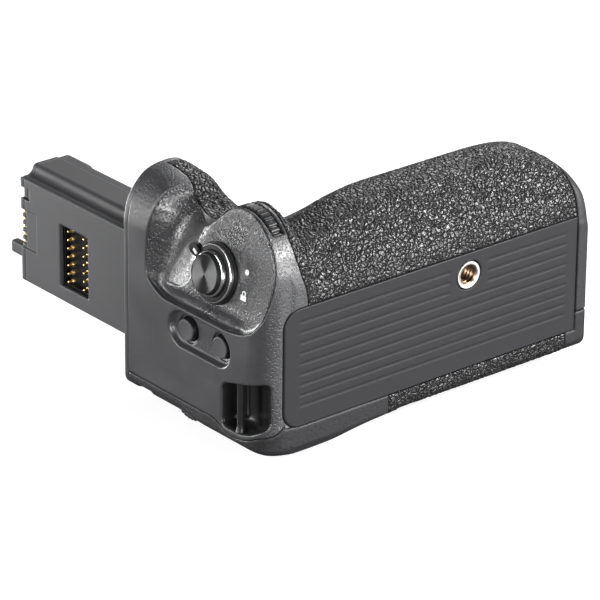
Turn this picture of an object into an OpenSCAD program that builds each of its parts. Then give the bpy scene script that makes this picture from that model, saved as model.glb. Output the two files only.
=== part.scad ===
// Camera battery grip with a stem that goes into the camera's battery chamber.
// The part lies on its rear face: +Z is towards the front of the camera, +Y is
// the way the stem points, -Y is out of the base plate. The origin is the centre
// of the tripod thread's mouth plane on the base plate.

/* [Body] */
// X of the flat end face beside the shutter button
x_end = -80; // [-82:0.5:-79]
// X of the outer face of the battery tray door
x_door = 50; // [49:0.5:52]
// Height from the base plate to the face that meets the camera
body_h = 67.5; // [67:0.25:69]
// Z of the rear face
z_rear = -38; // [-39:0.25:-37.5]
// Casing wall thickness
wall = 2.4; // [2:0.1:2.6]
// Thickness of the rubber covering
skin = 1.2; // [0.9:0.1:1.4]
// Tilt of the shutter plateau towards the front, degrees
tilt = 12; // [8:1:14]

/* [Controls] */
// Radius of the shutter button's cap
shutter_r = 6.0; // [5.5:0.1:6]
// Radius of the two round function buttons
fn_r = 3.45; // [3:0.05:3.5]
// Radius of the front command dial
dial_r = 12.4; // [12:0.1:12.4]
// Radius of the rear command dial
rdial_r = 10; // [9:0.1:10.2]
// Number of ribs on each command dial
dial_ribs = 40; // [24:4:48]
// Clearance between a moving control and the casing
gap = 0.4; // [0.35:0.05:0.6]

/* [Stem] */
// Length of the stem above the camera face
stem_len = 61.3; // [56:0.1:62]
// Width of the stem along X
stem_w = 20.5; // [19:0.1:21]
// Pitch of the connector pins
pin_pitch = 2.86; // [2.54:0.02:2.9]

/* [Mounts] */
// Radius of the tripod thread's wall (1/4-20 tapping size)
thread_r = 2.6; // [2.5:0.05:2.65]
// Radius of the camera screw
screw_r = 3.1; // [3:0.05:3.175]
// Radius of the two locating pins
locate_r = 1.5; // [1.2:0.1:1.8]

/* [Batteries] */
// Length of one battery pack along X
pack_l = 55.4; // [50:0.2:55.4]
// Thickness of one battery pack
pack_t = 20.4; // [19:0.1:20.4]
// Width of one battery pack
pack_w = 37.6; // [36:0.1:37.6]

/* [Hidden] */
$fn = 48;
seam = 0.06;          // parting gap between pieces of one body
z_part = -32.6;       // parting plane between front and rear covers
x_rub = -68.4;        // rubber seam at z = 16
x_seam = 45;          // seam between the casing and the tray door
x_core = -35; y_deck = 44;   // where the front cover meets the grip core, and the core the deck
tt = tan(tilt);
plate_x0 = -72.3; plate_x1 = 44.8; plate_z0 = -31; plate_z1 = 7.2; plate_t = 1.8;
sh = [-76 + tt * (12.6 - 16), 26.3, 12.6];   // shutter axis on the plateau
fn_y = [38.1, 21.9]; fn_z = -9.5;
fd = [-68.6, 18.4, 22.2];                    // front dial centre
rd = [-74.6, 39.5, -30.6];                   // rear dial centre
stick = [-57, 37, -33.2];
af = [-66.5, 54]; menu = [-46, 54];
wheel_y0 = 57.6; wheel_y1 = 61.4; wheel_r = 10.2; screw_z = -3;
stem_x0 = -74; stem_x1 = stem_x0 + stem_w; stem_z0 = -25.7; stem_z1 = 9.4; stem_top = body_h + stem_len;
tray_y0 = 11; tray_y1 = 55; tray_x0 = -14.6;
screws = [[-30, 8], [-30, 60], [8, 8], [8, 60], [40, 8], [40, 60]];

// ---- curves -------------------------------------------------------------
function cr(a, b, c, d, t) = 0.5 * (2 * b + (c - a) * t + (2 * a - 5 * b + 4 * c - d) * t * t + (3 * b - a - 3 * c + d) * t * t * t);
function spline(p, n) = concat([for (i = [0:len(p) - 2]) for (k = [0:n - 1])
    cr(p[max(i - 1, 0)], p[i], p[i + 1], p[min(i + 2, len(p) - 1)], k / n)], [p[len(p) - 1]]);
function arc(c, r, a0, a1, n) = [for (i = [0:n]) c + r * [cos(a0 + (a1 - a0) * i / n), sin(a0 + (a1 - a0) * i / n)]];
function unit(v) = v / norm(v);
// a counter-clockwise outline moved inwards by d
function inset(p, d) = d == 0 ? p : [for (i = [0:len(p) - 1])
    let (n = len(p), a = p[(i + n - 1) % n], b = p[i], c = p[(i + 1) % n], t = unit(b - a), u = unit(c - b),
         m = [-t.y - u.y, t.x + u.x]) b + d * m / max(0.6, (m * m) / 2)];

// ---- outlines, counter-clockwise -----------------------------------------
// side view of the handle (Y, Z): finger ridge, then the fall to the camera face
ridge = [[66, 4.6], [63, 6.2], [60, 8.0], [57, 10.0], [48, 12], [40, 16.3], [34, 21.5], [29, 26.2], [25, 28.9], [21, 30.1], [16.5, 28.8], [11.5, 24.8], [6.5, 19.6], [2.2, 14], [0.3, 9]];
main_yz = concat(arc([6, z_rear + 6], 6, 180, 270, 5), [[body_h, z_rear], [body_h, 4.3]], spline(ridge, 2), [[0, 6]]);
// side view of the shutter pod
pod_top = [[38, 23], [33.5, 25.2], [29.5, 28.6], [25, 32.4], [19.5, 34.2], [13, 32.9], [7.5, 29.3], [3, 24], [0.7, 18.5], [0, 12]];
pod_yz = concat(arc([6, z_rear + 6], 6, 180, 270, 5), [[40, z_rear], [40, 22]], spline(pod_top, 2));
// side view of the lobe below the camera's hand grip
lobe_top = [[66.5, 32], [58, 33.2], [50, 32], [43, 29.2], [38, 26.4], [33.5, 24.6], [29.5, 22]];
lobe_yz = concat([[28, z_rear], [body_h, z_rear], [body_h, 31.6]], spline(lobe_top, 2), [[28, 20]]);
// plan view of the lobe (X, Z)
lobe_xz = concat([[x_end, -60], [-47, -60]], spline([[-47, 2], [-48.2, 8], [-50.3, 12.2], [-53, 16.5], [-55.4, 21], [-57, 25], [-58, 28.4], [-59.4, 31.4], [-62.8, 33.6]], 2),
    arc([-62.8, 16.4], 17.2, 96, 180, 7));
// plan view of the handle (X, Z): thumb rest at the back, rounded fall at the door end
main_xz = concat([[-84, z_rear], [44, z_rear]], arc([x_door - 6, z_rear + 6], 6, 280, 360, 4), spline([[x_door, 8], [x_door - 0.6, 14], [x_door - 3.6, 20], [x_door - 10, 24.8], [x_door - 19, 28.4], [x_door - 30, 30.4]], 2), [[-28, 30.4]],
    spline([[-36, 29.6], [-44, 27.6], [-52, 25.4], [-60, 23.8], [-70, 23]], 2), [[-84, 23]]);
// view along Z (X, Y): rounded corners
plan_xy = concat(arc([x_end + 8, 8], 8, 180, 270, 6), arc([x_door - 1.6, 1.6], 1.6, 270, 360, 3), arc([x_door - 4, body_h - 4], 4, 0, 90, 4), arc([x_end + 3, body_h - 3], 3, 90, 180, 3));

// ---- helpers -------------------------------------------------------------
module along_x(x0, x1) { translate([x0, 0, 0]) rotate([90, 0, 90]) linear_extrude(x1 - x0) children(); }
module along_y(y0, y1) { translate([0, y1, 0]) rotate([90, 0, 0]) linear_extrude(y1 - y0) children(); }
module along_z(z0, z1) { translate([0, 0, z0]) linear_extrude(z1 - z0) children(); }
module box(a, b) { translate(a) cube(b - a); }
module rod_x(x0, x1, y, z, r) { translate([x0, y, z]) rotate([0, 90, 0]) cylinder(r = r, h = x1 - x0); }
module rod_y(x, y0, y1, z, r) { translate([x, y1, z]) rotate([90, 0, 0]) cylinder(r = r, h = y1 - y0); }
module rod_z(x, y, z0, z1, r, n = 48) { translate([x, y, z0]) cylinder(r = r, h = z1 - z0, $fn = n); }
module at_shutter() { translate(sh) rotate([0, tilt - 90, 0]) children(); }
// half-space on the outer side of a plane parallel to the plateau, through x0 at z = 16
module beyond(x0, depth = 60) { translate([x0, -20, 16]) rotate([0, tilt, 0]) translate([-depth, 0, -70]) cube([depth, 120, 140]); }
module as_shell() { resize([0, 0, 0]) children(); }
// an outline with rounded ends along Y, for a recess in the end face
module stadium_x(x0, x1, ya, yb, z, r) { along_x(x0, x1) union() { translate([ya, z]) circle(r); translate([yb, z]) circle(r); translate([min(ya, yb), z - r]) square([abs(yb - ya), 2 * r]); } }

// outer form of the whole casing, moved inwards by d
module pod(d) { difference() { intersection() { along_x(x_end + d, -62 - d) polygon(inset(pod_yz, d)); along_z(-60, 60) polygon(inset(plan_xy, d)); } plateau_cut(d); } }
// tilted plateau for the shutter, rising in a hollow finger rest towards the camera face
module plateau_cut(d) { translate([-76, 0, 16]) rotate([0, tilt, 0]) translate([0, 0, -26]) linear_extrude(90)
    polygon(concat([[-60, -20], [d, -20]], arc([-12, 46], 12 + d, 0, 90, 8), [[-60, 58 + d]])); }
module lobe(d) { difference() { intersection() { along_x(x_end + d, -36) polygon(inset(lobe_yz, d)); along_y(-1, 90) polygon(inset(lobe_xz, d)); along_z(-60, 60) polygon(inset(plan_xy, d)); } plateau_cut(d); } }
// finger relief between the ridge and the lobe, a slope down to the camera face
module relief(d) { intersection() { translate([-23.03, 58, 5.28]) rotate([0, 40.44, 110.42]) translate([-150, -150, -d]) cube([300, 300, 120]); box([-75, -5, 0.6 - d], [20, 90, 60]); } }
module handle(d) { difference() { intersection() { along_x(-70, x_door - d) polygon(inset(main_yz, d)); along_y(-1, 90) polygon(inset(main_xz, d)); along_z(-60, 60) polygon(inset(plan_xy, d)); } relief(d); } }
module thumb_rest(d) { intersection() { along_z(-60, 60) polygon(inset(plan_xy, d + 0.05)); along_x(x_end + 0.4 + d, -33) polygon(inset(concat(arc([5, -37.2], 5, 180, 270, 4), [[26, -42.2], [31, -40.6], [35, z_rear], [35, -34], [0, -34]]), d));
    along_y(-1, 90) polygon(inset(concat([[x_end + 0.4, -34]], spline([[x_end + 0.8, -36.4], [x_end + 2.4, -39], [x_end + 5, -41], [x_end + 8.5, -42.1], [x_end + 12, -42.2]], 2), [[-57, -42.2]], spline([[-52, -41.6], [-45, -39.6], [-38, -38.2], [-34, -37.5]], 2), [[-34, -30], [x_end + 0.4, -30]]), d)); } }
module casing(d) { union() { pod(d); lobe(d); handle(d); thumb_rest(d); } }
// inside of the casing, open towards the top plate
module cavity() { union() { casing(wall); intersection() { translate([0, 3, 0]) casing(wall); box([-90, 62.3, -60], [70, 90, 60]); } } }
module rubber_zone(g) { // volume of the front rubber
    difference() { box([-75, -2, plate_z1 + 0.1 - g], [x_seam - 0.1 + g, body_h - 2.1 + g, 60]); beyond(x_rub - g); box([-80, 40, -10], [x_seam + 1, 80, 4 - g]); } }
module slots(g) { // openings of the controls in the covers
    box([fd.x - 2.4, 5.2, 23], [fd.x + 2.4, 31, 40]);
    box([rd.x - 2.6, rd.y - 9.3, -50], [rd.x + 2.6, rd.y + 9.3, -30]);
    for (y = fn_y) rod_x(-90, -70, y, fn_z, fn_r + gap);
    rod_z(af.x, af.y, -50, -30, 4 + gap, 32); rod_z(menu.x, menu.y, -50, -30, 3 + gap, 32); rod_z(stick.x, stick.y, -50, -30, 6.0, 32);
    along_y(wheel_y0 - 0.6, wheel_y1 + 0.6) polygon([[-10.8, -2], [10.8, -2], [10.8, 4.6], [14.4, 12], [-14.4, 12], [-10.8, 4.6]]);
    stadium_x(-90, x_end + 1.5, fn_y[0], fn_y[1], fn_z, 5.4); }
module strap_well(g) { intersection() { box([x_end - 2, -2, -34 - g], [-69.6 + g, 20.2 + g, -20 + g]); along_z(-60, 60) polygon(concat([[-90, -10], [-69.6 + g, -10]], [[-69.6 + g, 9 + 0.4 * g], [-72 + 0.8 * g, 14 + 0.5 * g]], [[-76 + 0.5 * g, 20.2 + g], [-90, 20.2 + g]])); } }

// ---- casing pieces -------------------------------------------------------
// front half of the shell with every opening in it
module front_shell() { difference() {
    intersection() { difference() { casing(0); cavity(); } box([-90, -5, z_part + seam], [x_seam - seam, body_h - 2 - seam, 60]); }
    difference() { rubber_zone(0.05); casing(skin + 0.05); }
    box([plate_x0 - 0.1, -1, plate_z0 - 0.1], [x_seam + 1, plate_t + 0.05, plate_z1 + 0.1]);
    // seat of the shutter plate
    intersection() { beyond(-76 + 2.6); box([-90, 1.9, -1.9], [-60, 57, 60]); }
    slots(0);
    box([x_seam - 6, 9, -35], [x_seam + 2, 56.4, 8]);
    rod_y(0, -1, 12, 0, 4.9);
    for (s = screws) rod_z(s.x, s.y, -60, -20, 1.2, 16); } }
module front_cover() { color("#4c4c4e") as_shell() difference() { intersection() { front_shell(); box([-90, -5, -60], [x_core - seam, 80, 60]); } strap_well(1.66); } }
module grip_core() { color("#48484a") as_shell() intersection() { front_shell(); box([x_core, -5, -60], [70, y_deck - seam, 60]); } }
module grip_deck() { color("#48484a") as_shell() intersection() { front_shell(); box([x_core, y_deck, -60], [70, 80, 60]); } }
module strap_pocket() { color("#343435") as_shell() difference() { intersection() { casing(0); strap_well(1.6); } strap_well(0); box([plate_x0 - 0.1, -1, plate_z0 - 0.1], [x_seam + 1, plate_t + 0.05, plate_z1 + 0.1]); } }
module rear_cover() { color("#3d3d3f") as_shell() difference() {
    union() { intersection() { difference() { casing(0); cavity(); } box([-90, -5, -60], [x_seam - seam, body_h - 2 - seam, z_part - seam]); }
        intersection() { casing(0); box([x_seam - 1.4, -5, -60], [x_door + 2, body_h - 2 - seam, -33.95]); }
        intersection() { casing(0); box([x_seam - seam, -5, -60], [x_door + 2, 8.55, -25.15]); } }
    strap_well(1.75);
    difference() { box([-31.05, -5, -60], [41.05, 62, -31]); casing(skin + 0.05); }
    slots(0);
    for (s = screws) { rod_z(s.x, s.y, -60, -20, 1.2, 16); rod_z(s.x, s.y, -60, z_rear + 1.55, 2.2, 16); } } }
module front_grip_rubber() { color("#2a2a2b") as_shell() difference() {
    intersection() { difference() { casing(0); casing(skin); } rubber_zone(0); }
    slots(0); } }
module rear_grip_rubber() { color("#2a2a2b") as_shell() difference() {
    intersection() { difference() { casing(0); casing(skin); } box([-31, -5, -60], [41, 61.95, z_part - 0.1]); }
    for (s = screws) rod_z(s.x, s.y, -60, -20, 2.6, 16); } }
module shutter_plate() { color("#48484a") as_shell() difference() {
    intersection() { union() { pod(0.02); lobe(0.02); } box([-90, 2, -1.8], [-60, 56.9, 60]); beyond(-76 + 2.5); }
    at_shutter() translate([0, 0, -8]) cylinder(r = 6.3, h = 16);
    slots(0); } }
module base_plate() { color("#3f3f44") difference() {
    intersection() { along_y(0, plate_t) polygon(concat([[plate_x1, plate_z0], [plate_x1, plate_z1]], arc([plate_x0 + 6, plate_z1 - 6], 6, 90, 180, 6), arc([plate_x0 + 6, plate_z0 + 6], 6, 180, 270, 6))); }
    for (k = [0:8]) { z = 2.85 - k * 3.41; wide = k < 3;
        box([-66.2, -1, z - 0.55], [wide ? -7.5 : 40.3, 0.35, z + 0.55]);
        if (wide) box([7.5, -1, z - 0.55], [40.3, 0.35, z + 0.55]); }
    rod_y(0, -1, 4, 0, 4.9); } }
module top_plate() { color("#454547") as_shell() difference() {
    intersection() { casing(0); box([-90, body_h - 2, -60], [x_seam - seam, body_h, 60]); }
    box([stem_x0 - 0.1, 60, stem_z0 - 0.1], [stem_x1 + 0.1, 90, stem_z1 + 3.2]);
    rod_y(0, 60, 90, screw_z, screw_r + gap);
    for (x = [-40, 38]) { rod_y(x, 60, 90, -20, locate_r - 0.45); rod_y(x, body_h - 1, 90, -20, locate_r + 0.3); }
    difference() { box([-44, body_h - 0.6, -33], [42, body_h + 1, -8]); box([-41.5, 60, -30.5], [39.5, 80, -10.5]); } } }
module top_gasket() { color("#1c1c1d") difference() { box([-43.9, body_h - 0.55, -32.9], [41.9, body_h + 0.2, -8.1]); box([-41.6, 60, -30.6], [39.6, 80, -10.4]); } }
module tripod_bush() { color("#c9c7c0") difference() { union() { rod_y(0, 0, 9, 0, 4.65); rod_y(0, 3.6, 5, 0, 6.5); } rod_y(0, -1, 8, 0, thread_r); } }
module chassis_plate() { color("#9a9a98") difference() { union() { box([-60, 2.45, -24], [40, 3.55, 4]); for (x = [-45, -27]) box([x, 3, -8], [x + 2, 14, -6.4]); }
    rod_y(0, 0, 10, 0, 4.7); for (x = [-50, -30, 25]) rod_y(x, 0, 10, -12, 3); } }
module strap_bar() { color("#2c2c2d") rod_z(-77.2, 8.6, -34.6, -19.4, 1.7); }
module case_screws() { color("#202022") for (s = screws) { difference() { union() { rod_z(s.x, s.y, z_rear + 0.2, z_rear + 1.5, 2.0); rod_z(s.x, s.y, z_rear + 1.5, -27, 1.1); }
    box([s.x - 0.25, s.y - 1.3, z_rear], [s.x + 0.25, s.y + 1.3, z_rear + 0.9]); box([s.x - 1.3, s.y - 0.25, z_rear], [s.x + 1.3, s.y + 0.25, z_rear + 0.9]); } } }
module locating_pins() { color("#b8b8b4") for (x = [-40, 38]) union() { rod_y(x, 63, body_h + 1, -20, locate_r - 0.5); rod_y(x, body_h + 0.3, body_h + 2.4, -20, locate_r); translate([x, body_h + 3, -20]) rotate([90, 0, 0]) cylinder(r1 = locate_r - 0.5, r2 = locate_r, h = 0.6); } }

// ---- stem ----------------------------------------------------------------
module stem_housing() { color("#555557") difference() {
    union() { box([stem_x0, 62, stem_z0], [stem_x1, stem_top - 2, stem_z1]); box([stem_x0 + 4.7, 62, stem_z1 - 1], [stem_x1 - 2.5, stem_top - 2, stem_z1 + 3]); }
    box([stem_x0 + 1.6, 60, stem_z0 + 1.6], [stem_x1 - 1.6, stem_top - 3.5, stem_z1 - 1.6]);
    box([stem_x0 - 1, 93.8, -20.7], [stem_x0 + 3, 108.5, 0]);
    // two rails on the near edge
    box([stem_x0 - 1, 70, stem_z1 - 1.2], [stem_x0 + 0.6, stem_top, stem_z1 - 0.5]); } }
module stem_cap() { color("#505052") difference() { union() { box([stem_x0, stem_top - 1.95, stem_z0], [stem_x1, stem_top, stem_z1]); box([stem_x0 + 4.7, stem_top - 1.95, stem_z1 - 1], [stem_x1 - 2.5, stem_top, stem_z1 + 3]);
        box([stem_x0 - 0.01 + 1, stem_top - 0.5, -16.8], [stem_x0 + 3, stem_top + 6, -12.6]); }
    for (k = [0:4]) box([stem_x0 - 1, stem_top - 3, -11 + k * 2.1], [stem_x0 + 4.2, stem_top + 1, -10 + k * 2.1]); } }
module stem_pin_block() { color("#141414") difference() { box([stem_x0 + 1.65, 93.85, -20.65], [stem_x0 + 6, 108.45, -0.05]); box([stem_x0, 94.6, -19.9], [stem_x0 + 3.4, 107.7, -0.8]); } }
module stem_pins() { color("#c8a24a") for (y = [105.55, 97.45], k = [0:6]) union() { rod_x(stem_x0 + 1.2, stem_x0 + 3.4, y, -1.95 - k * pin_pitch, 0.45); rod_x(stem_x0 + 2.6, stem_x0 + 3.4, y, -1.95 - k * pin_pitch, 0.75); } }
module stem_tip_contacts() { color("#c0a868") for (k = [0:4]) box([stem_x0 + 0.5, stem_top - 1.9, -10.85 + k * 2.1], [stem_x0 + 4.15, stem_top - 0.3, -10.15 + k * 2.1]); }

// ---- shutter group --------------------------------------------------------
module shutter_collar() { color("#b9b9bb") at_shutter() difference() { union() { translate([0, 0, 0.02]) cylinder(r = 9.6, h = 1.1); translate([0, 0, -3]) cylinder(r = 6.25, h = 3.1); translate([0, 0, 0.5]) cylinder(r = 7.3, h = 2.9); }
    translate([0, 0, -2.4]) cylinder(r = shutter_r + 0.02 - 0.5, h = 3.4); translate([0, 0, 0.6]) cylinder(r = shutter_r + 0.4, h = 6); translate([0, 0, -4]) cylinder(r = 3.4, h = 6); } }
module index_marks() { color("#f2f2f0") at_shutter() { rotate([0, 0, -161]) translate([0, 13.8, 0.02]) union() { cylinder(r = 0.85, h = 0.12); }
    rotate([0, 0, 168.6]) translate([0, 13.6, 0.02]) union() { translate([-1.1, -1.2, 0]) cube([2.2, 1.7, 0.12]); difference() { translate([0, 0.5, 0]) cylinder(r = 0.95, h = 0.12); translate([0, 0.5, -1]) cylinder(r = 0.55, h = 3); } } } }
module shutter_switch() { color("#2f5b3a") at_shutter() union() { translate([-5, -5, -4.6]) cube([10, 10, 0.6]); translate([0, 0, -4.1]) cylinder(r = 2.2, h = 0.7); } }
module shutter_button() { color("#2b2b2d") at_shutter() union() { rotate_extrude() polygon(concat([[0, 2.3], [shutter_r - 0.4, 2.3], [shutter_r, 2.7], [shutter_r, 4.5], [shutter_r - 0.45, 5.0]], [for (i = [0:5]) let (r = (shutter_r - 0.9) * (1 - i / 5)) [r, 4.85 - 0.35 * (1 - pow(r / (shutter_r - 0.9), 2))]]));
    translate([0, 0, -1.8]) cylinder(r = 2.6, h = 4.2); } }
module lock_lever() { color("#242426") at_shutter() difference() { union() { translate([0, 0, 1.5]) cylinder(r = 8.9, h = 1.9); rotate([0, 0, -30]) translate([-1.9, 6.5, 1.5]) cube([3.8, 5.6, 2.6]); }
    translate([0, 0, 0]) cylinder(r = 7.35, h = 9); rotate([0, 0, 166]) translate([-0.5, 8, 2.6]) cube([1, 2, 2]); } }

// ---- buttons, dials, stick -------------------------------------------------
module fn_button(y) { union() { rod_x(x_end + 0.35, -74.6, y, fn_z, fn_r); rod_x(-75.4, -74.4, y, fn_z, fn_r + 0.9); } }
module fn_button_a() { color("#454547") fn_button(fn_y[0]); }
module fn_button_b() { color("#454547") fn_button(fn_y[1]); }
module fn_keypad() { color("#6d6a64") union() { box([-72.9, 15.4, -16], [-72.2, 44.6, -3]); for (y = fn_y) rod_x(-73.2, -72.9, y, fn_z, 2); } }
module dial(c, w, r, bore) { translate([c.x - w / 2, c.y, c.z]) rotate([0, 90, 0]) difference() { cylinder(r = r - 0.45, h = w); translate([0, 0, -1]) cylinder(r = bore, h = w + 2); }
    for (k = [0:dial_ribs - 1]) translate([c.x, c.y, c.z]) rotate([k * 360 / dial_ribs, 0, 0]) translate([-w / 2, -0.09 * r * 20 / dial_ribs, r - 0.9]) cube([w, 0.18 * r * 20 / dial_ribs, 0.9]); }
module front_dial() { color("#222223") union() dial(fd, 3.6, dial_r, 2.05); }
module front_dial_axle() { color("#8d8d8b") union() { rod_x(fd.x - 2.2, fd.x + 4.2, fd.y, fd.z, 2.0); rod_x(fd.x + 2.4, fd.x + 4.2, fd.y, fd.z, 4); box([fd.x + 3.2, 10, 12], [fd.x + 4.2, fd.y + 3, fd.z + 1]); } }
module rear_dial() { color("#222223") union() dial(rd, 4.2, rdial_r, 2.05); }
module rear_dial_axle() { color("#8d8d8b") union() { rod_x(rd.x - 2.6, rd.x + 4.6, rd.y, rd.z, 2.0); rod_x(rd.x + 2.6, rd.x + 4.6, rd.y, rd.z, 4); box([rd.x + 3.6, rd.y - 3, rd.z], [rd.x + 4.6, rd.y + 3, rd.z + 12]); } }
module rear_button(p, r, out) { union() { rod_z(p.x, p.y, z_rear - out, -34.0, r); rod_z(p.x, p.y, -34.9, -33.9, r + 1); } }
module af_button() { color("#333334") rear_button(af, 4, 1.2); }
module menu_button() { color("#333334") rear_button(menu, 3, 0.8); }
module rear_keypad() { color("#6d6a64") union() { for (b = [[af, 1], [menu, 1]]) { box([b[0].x - 5, b[0].y - 5, -32.0], [b[0].x + 5, b[0].y + 5, -31.2]); rod_z(b[0].x, b[0].y, -32.4, -32, 2); } box([af.x + 5, af.y - 2, -32.0], [menu.x - 5, af.y + 2, -31.2]); } }
module stick_base() { color("#3a3a3b") difference() { rod_z(stick.x, stick.y, -35.5, -26.5, 9.2); rod_z(stick.x, stick.y, -40, -29, 7.2); } }
module stick_gimbal() { color("#77777a") union() { difference() { rod_z(stick.x, stick.y, stick.z - 0.9, stick.z + 0.9, 5.6); rod_z(stick.x, stick.y, stick.z - 3, stick.z + 3, 4.2); }
    rod_x(stick.x - 6.6, stick.x - 4.9, stick.y, stick.z, 0.6); rod_x(stick.x + 4.9, stick.x + 6.6, stick.y, stick.z, 0.6); } }
module thumb_stick() { color("#232324") union() { rod_z(stick.x, stick.y, -39.6, stick.z + 1.4, 1.7); translate([stick.x, stick.y, -41.2]) cylinder(r1 = 3.6, r2 = 4.3, h = 2.0); rod_z(stick.x, stick.y, stick.z - 1.4, stick.z + 1.4, 2.6); rod_y(stick.x, stick.y - 3.7, stick.y + 3.7, stick.z, 0.6);
    for (k = [0:7]) rotate_about(stick, k * 45) rod_z(stick.x + 2.6, stick.y, -41.5, -41, 0.45); } }
module rotate_about(c, a) { translate([c.x, c.y, 0]) rotate([0, 0, a]) translate([-c.x, -c.y, 0]) children(); }

// ---- camera screw ----------------------------------------------------------
module attach_wheel() { color("#2c2c2d") translate([0, 0, screw_z]) union() { difference() { rod_y(0, wheel_y0, wheel_y1, 0, wheel_r - 0.5); rod_y(0, 50, 70, 0, screw_r - 0.6); }
    for (k = [0:29]) rotate([0, k * 12, 0]) box([-0.5, wheel_y0, wheel_r - 0.9], [0.5, wheel_y1, wheel_r]); } }
module camera_screw() { color("#c9c7c0") translate([0, 0, screw_z]) union() { rod_y(0, 56.6, body_h + 1, 0, screw_r - 0.6); rod_y(0, body_h + 0.4, body_h + 4.6, 0, screw_r); translate([0, body_h + 5.4, 0]) rotate([90, 0, 0]) cylinder(r1 = screw_r - 0.7, r2 = screw_r, h = 0.8); } }
module screw_bearing() { color("#8d8d8b") difference() { union() { box([-12, 62.2, -11], [12, 63.6, 0.5]); rod_y(0, 62.2, 65.3, screw_z, 4.2); } rod_y(0, 60, 70, screw_z, screw_r - 0.55); } }

// ---- battery bay -----------------------------------------------------------
module tray_guide() { color("#5d5d5f") difference() { box([-15.4, 9.5, -34.2], [43.2, 56.3, 7.15]); relief(wall + 0.1); box([-14.95, 10.5, -33.1], [46, 55.5, 6.6]); box([-20, 14, -28], [-10, 52, 4]); box([42, 16.5, 6], [50, 37.5, 9]); } }
module latch_keeper() { color("#8d8d8b") difference() { box([41, 26, 7.2], [44.8, 40, 12.5]); box([42.1, 16.5, 7], [43.8, 37.5, 11.8]); } }
module contact_block() { color("#1a1a1b") difference() { box([-20, 13, -29], [-15.5, 53, 5]); for (y = [16, 27, 38, 49]) box([-18.9, y - 1.6, -20], [-15, y + 1.6, -2]); } }
module contact_springs() { color("#cfae62") for (y = [16, 27, 38, 49], z = [-16, -6]) union() { box([-18.9, y - 0.8, z - 2.6], [-18.4, y + 0.8, z + 2.6]); translate([-16.9, y, z]) rotate([90, 0, 0]) translate([0, 0, -0.8]) difference() { cylinder(r = 1.75, h = 1.6); translate([0, 0, -1]) cylinder(r = 1.25, h = 4); translate([-3, -3, -1]) cube([1.9, 6, 4]); } } }
module main_board() { color("#2f5b3a") union() { box([-46, 14, -8], [-24, 52, -6.4]); box([-42, 20, -6.4], [-32, 30, -4.6]); box([-40, 36, -6.4], [-30, 42, -5.2]); box([-28, 22, -6.4], [-25.5, 46, -3.8]); } }
module battery_tray() { color("#3a3a3c") difference() { union() { box([tray_x0, tray_y0, -32.6], [x_seam + 0.3, tray_y1, -31.5]); box([tray_x0, tray_y0, -31.6], [x_seam + 0.3, tray_y0 + 0.9, -4]); box([tray_x0, tray_y1 - 0.9, -31.6], [x_seam + 0.3, tray_y1, -4]); box([tray_x0, tray_y0, -31.6], [tray_x0 + 1.1, tray_y1, -24]); }
    for (y = [22.5, 43.5]) rod_z(22, y, -40, -30, 7); } }
module pack(y0) { difference() { box([-13.3, y0, -31.4], [-13.3 + pack_l, y0 + pack_t, -31.4 + pack_w]); for (k = [0:3]) box([-14, y0 + 3 + k * 3.8, -18], [-12.3, y0 + 5 + k * 3.8, -4]); box([-14, y0 - 1, -31.4 + pack_w - 1.4], [0, y0 + 1.4, 20]); } }
module battery_pack_a() { color("#2b2b2d") pack(12.2); }
module battery_pack_b() { color("#2b2b2d") pack(33.3); }
module tray_door() { color("#434345") as_shell() difference() { intersection() { casing(0); box([x_seam + 0.3, -5, -33.6], [60, 80, 60]); } box([0, -9, -60], [60, 8.9, -24.8]); rod_x(x_seam, x_door + 5, 33, -10, 4.4); rod_x(x_door - 1.6, x_door + 5, 33, -10, 9.6); } }
module door_seal() { color("#161617") difference() { box([x_seam - 0.9, 9.9, -31], [x_seam + 0.3, 56.0, 7.2]); box([x_seam - 3, 10.95, -40], [x_seam + 3, 55.05, 6.2]); } }
module door_latch() { color("#2e2e30") union() { rod_x(x_door - 1.3, x_door - 0.1, 33, -10, 9.2); rod_x(x_seam - 1.6, x_door - 1.2, 33, -10, 4.0); difference() { box([x_door - 0.2, 31.6, -18], [x_door + 1.3, 34.4, -2]); box([x_door + 2, 0, -30], [x_door + 3, 60, 20]); } } }
module latch_tongue() { color("#a5a5a2") union() { union() { box([x_seam - 2.5, 13, -13], [x_seam - 1.6, 33, -7]); rod_x(x_seam - 2.5, x_seam - 1.6, 33, -10, 4.6); } } }

front_cover();
grip_core();
grip_deck();
strap_pocket();
rear_cover();
front_grip_rubber();
rear_grip_rubber();
shutter_plate();
base_plate();
top_plate();
top_gasket();
tripod_bush();
chassis_plate();
strap_bar();
case_screws();
locating_pins();
stem_housing();
stem_cap();
stem_pin_block();
stem_pins();
stem_tip_contacts();
shutter_collar();
index_marks();
shutter_switch();
shutter_button();
lock_lever();
fn_button_a();
fn_button_b();
fn_keypad();
front_dial();
front_dial_axle();
rear_dial();
rear_dial_axle();
af_button();
menu_button();
rear_keypad();
stick_base();
stick_gimbal();
thumb_stick();
attach_wheel();
camera_screw();
screw_bearing();
tray_guide();
latch_keeper();
contact_block();
contact_springs();
main_board();
battery_tray();
tray_door();
door_seal();
battery_pack_a();
battery_pack_b();
door_latch();
latch_tongue();
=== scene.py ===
import math
import time
import bmesh
import bpy
import numpy as np
from mathutils import Matrix, Vector


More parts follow.
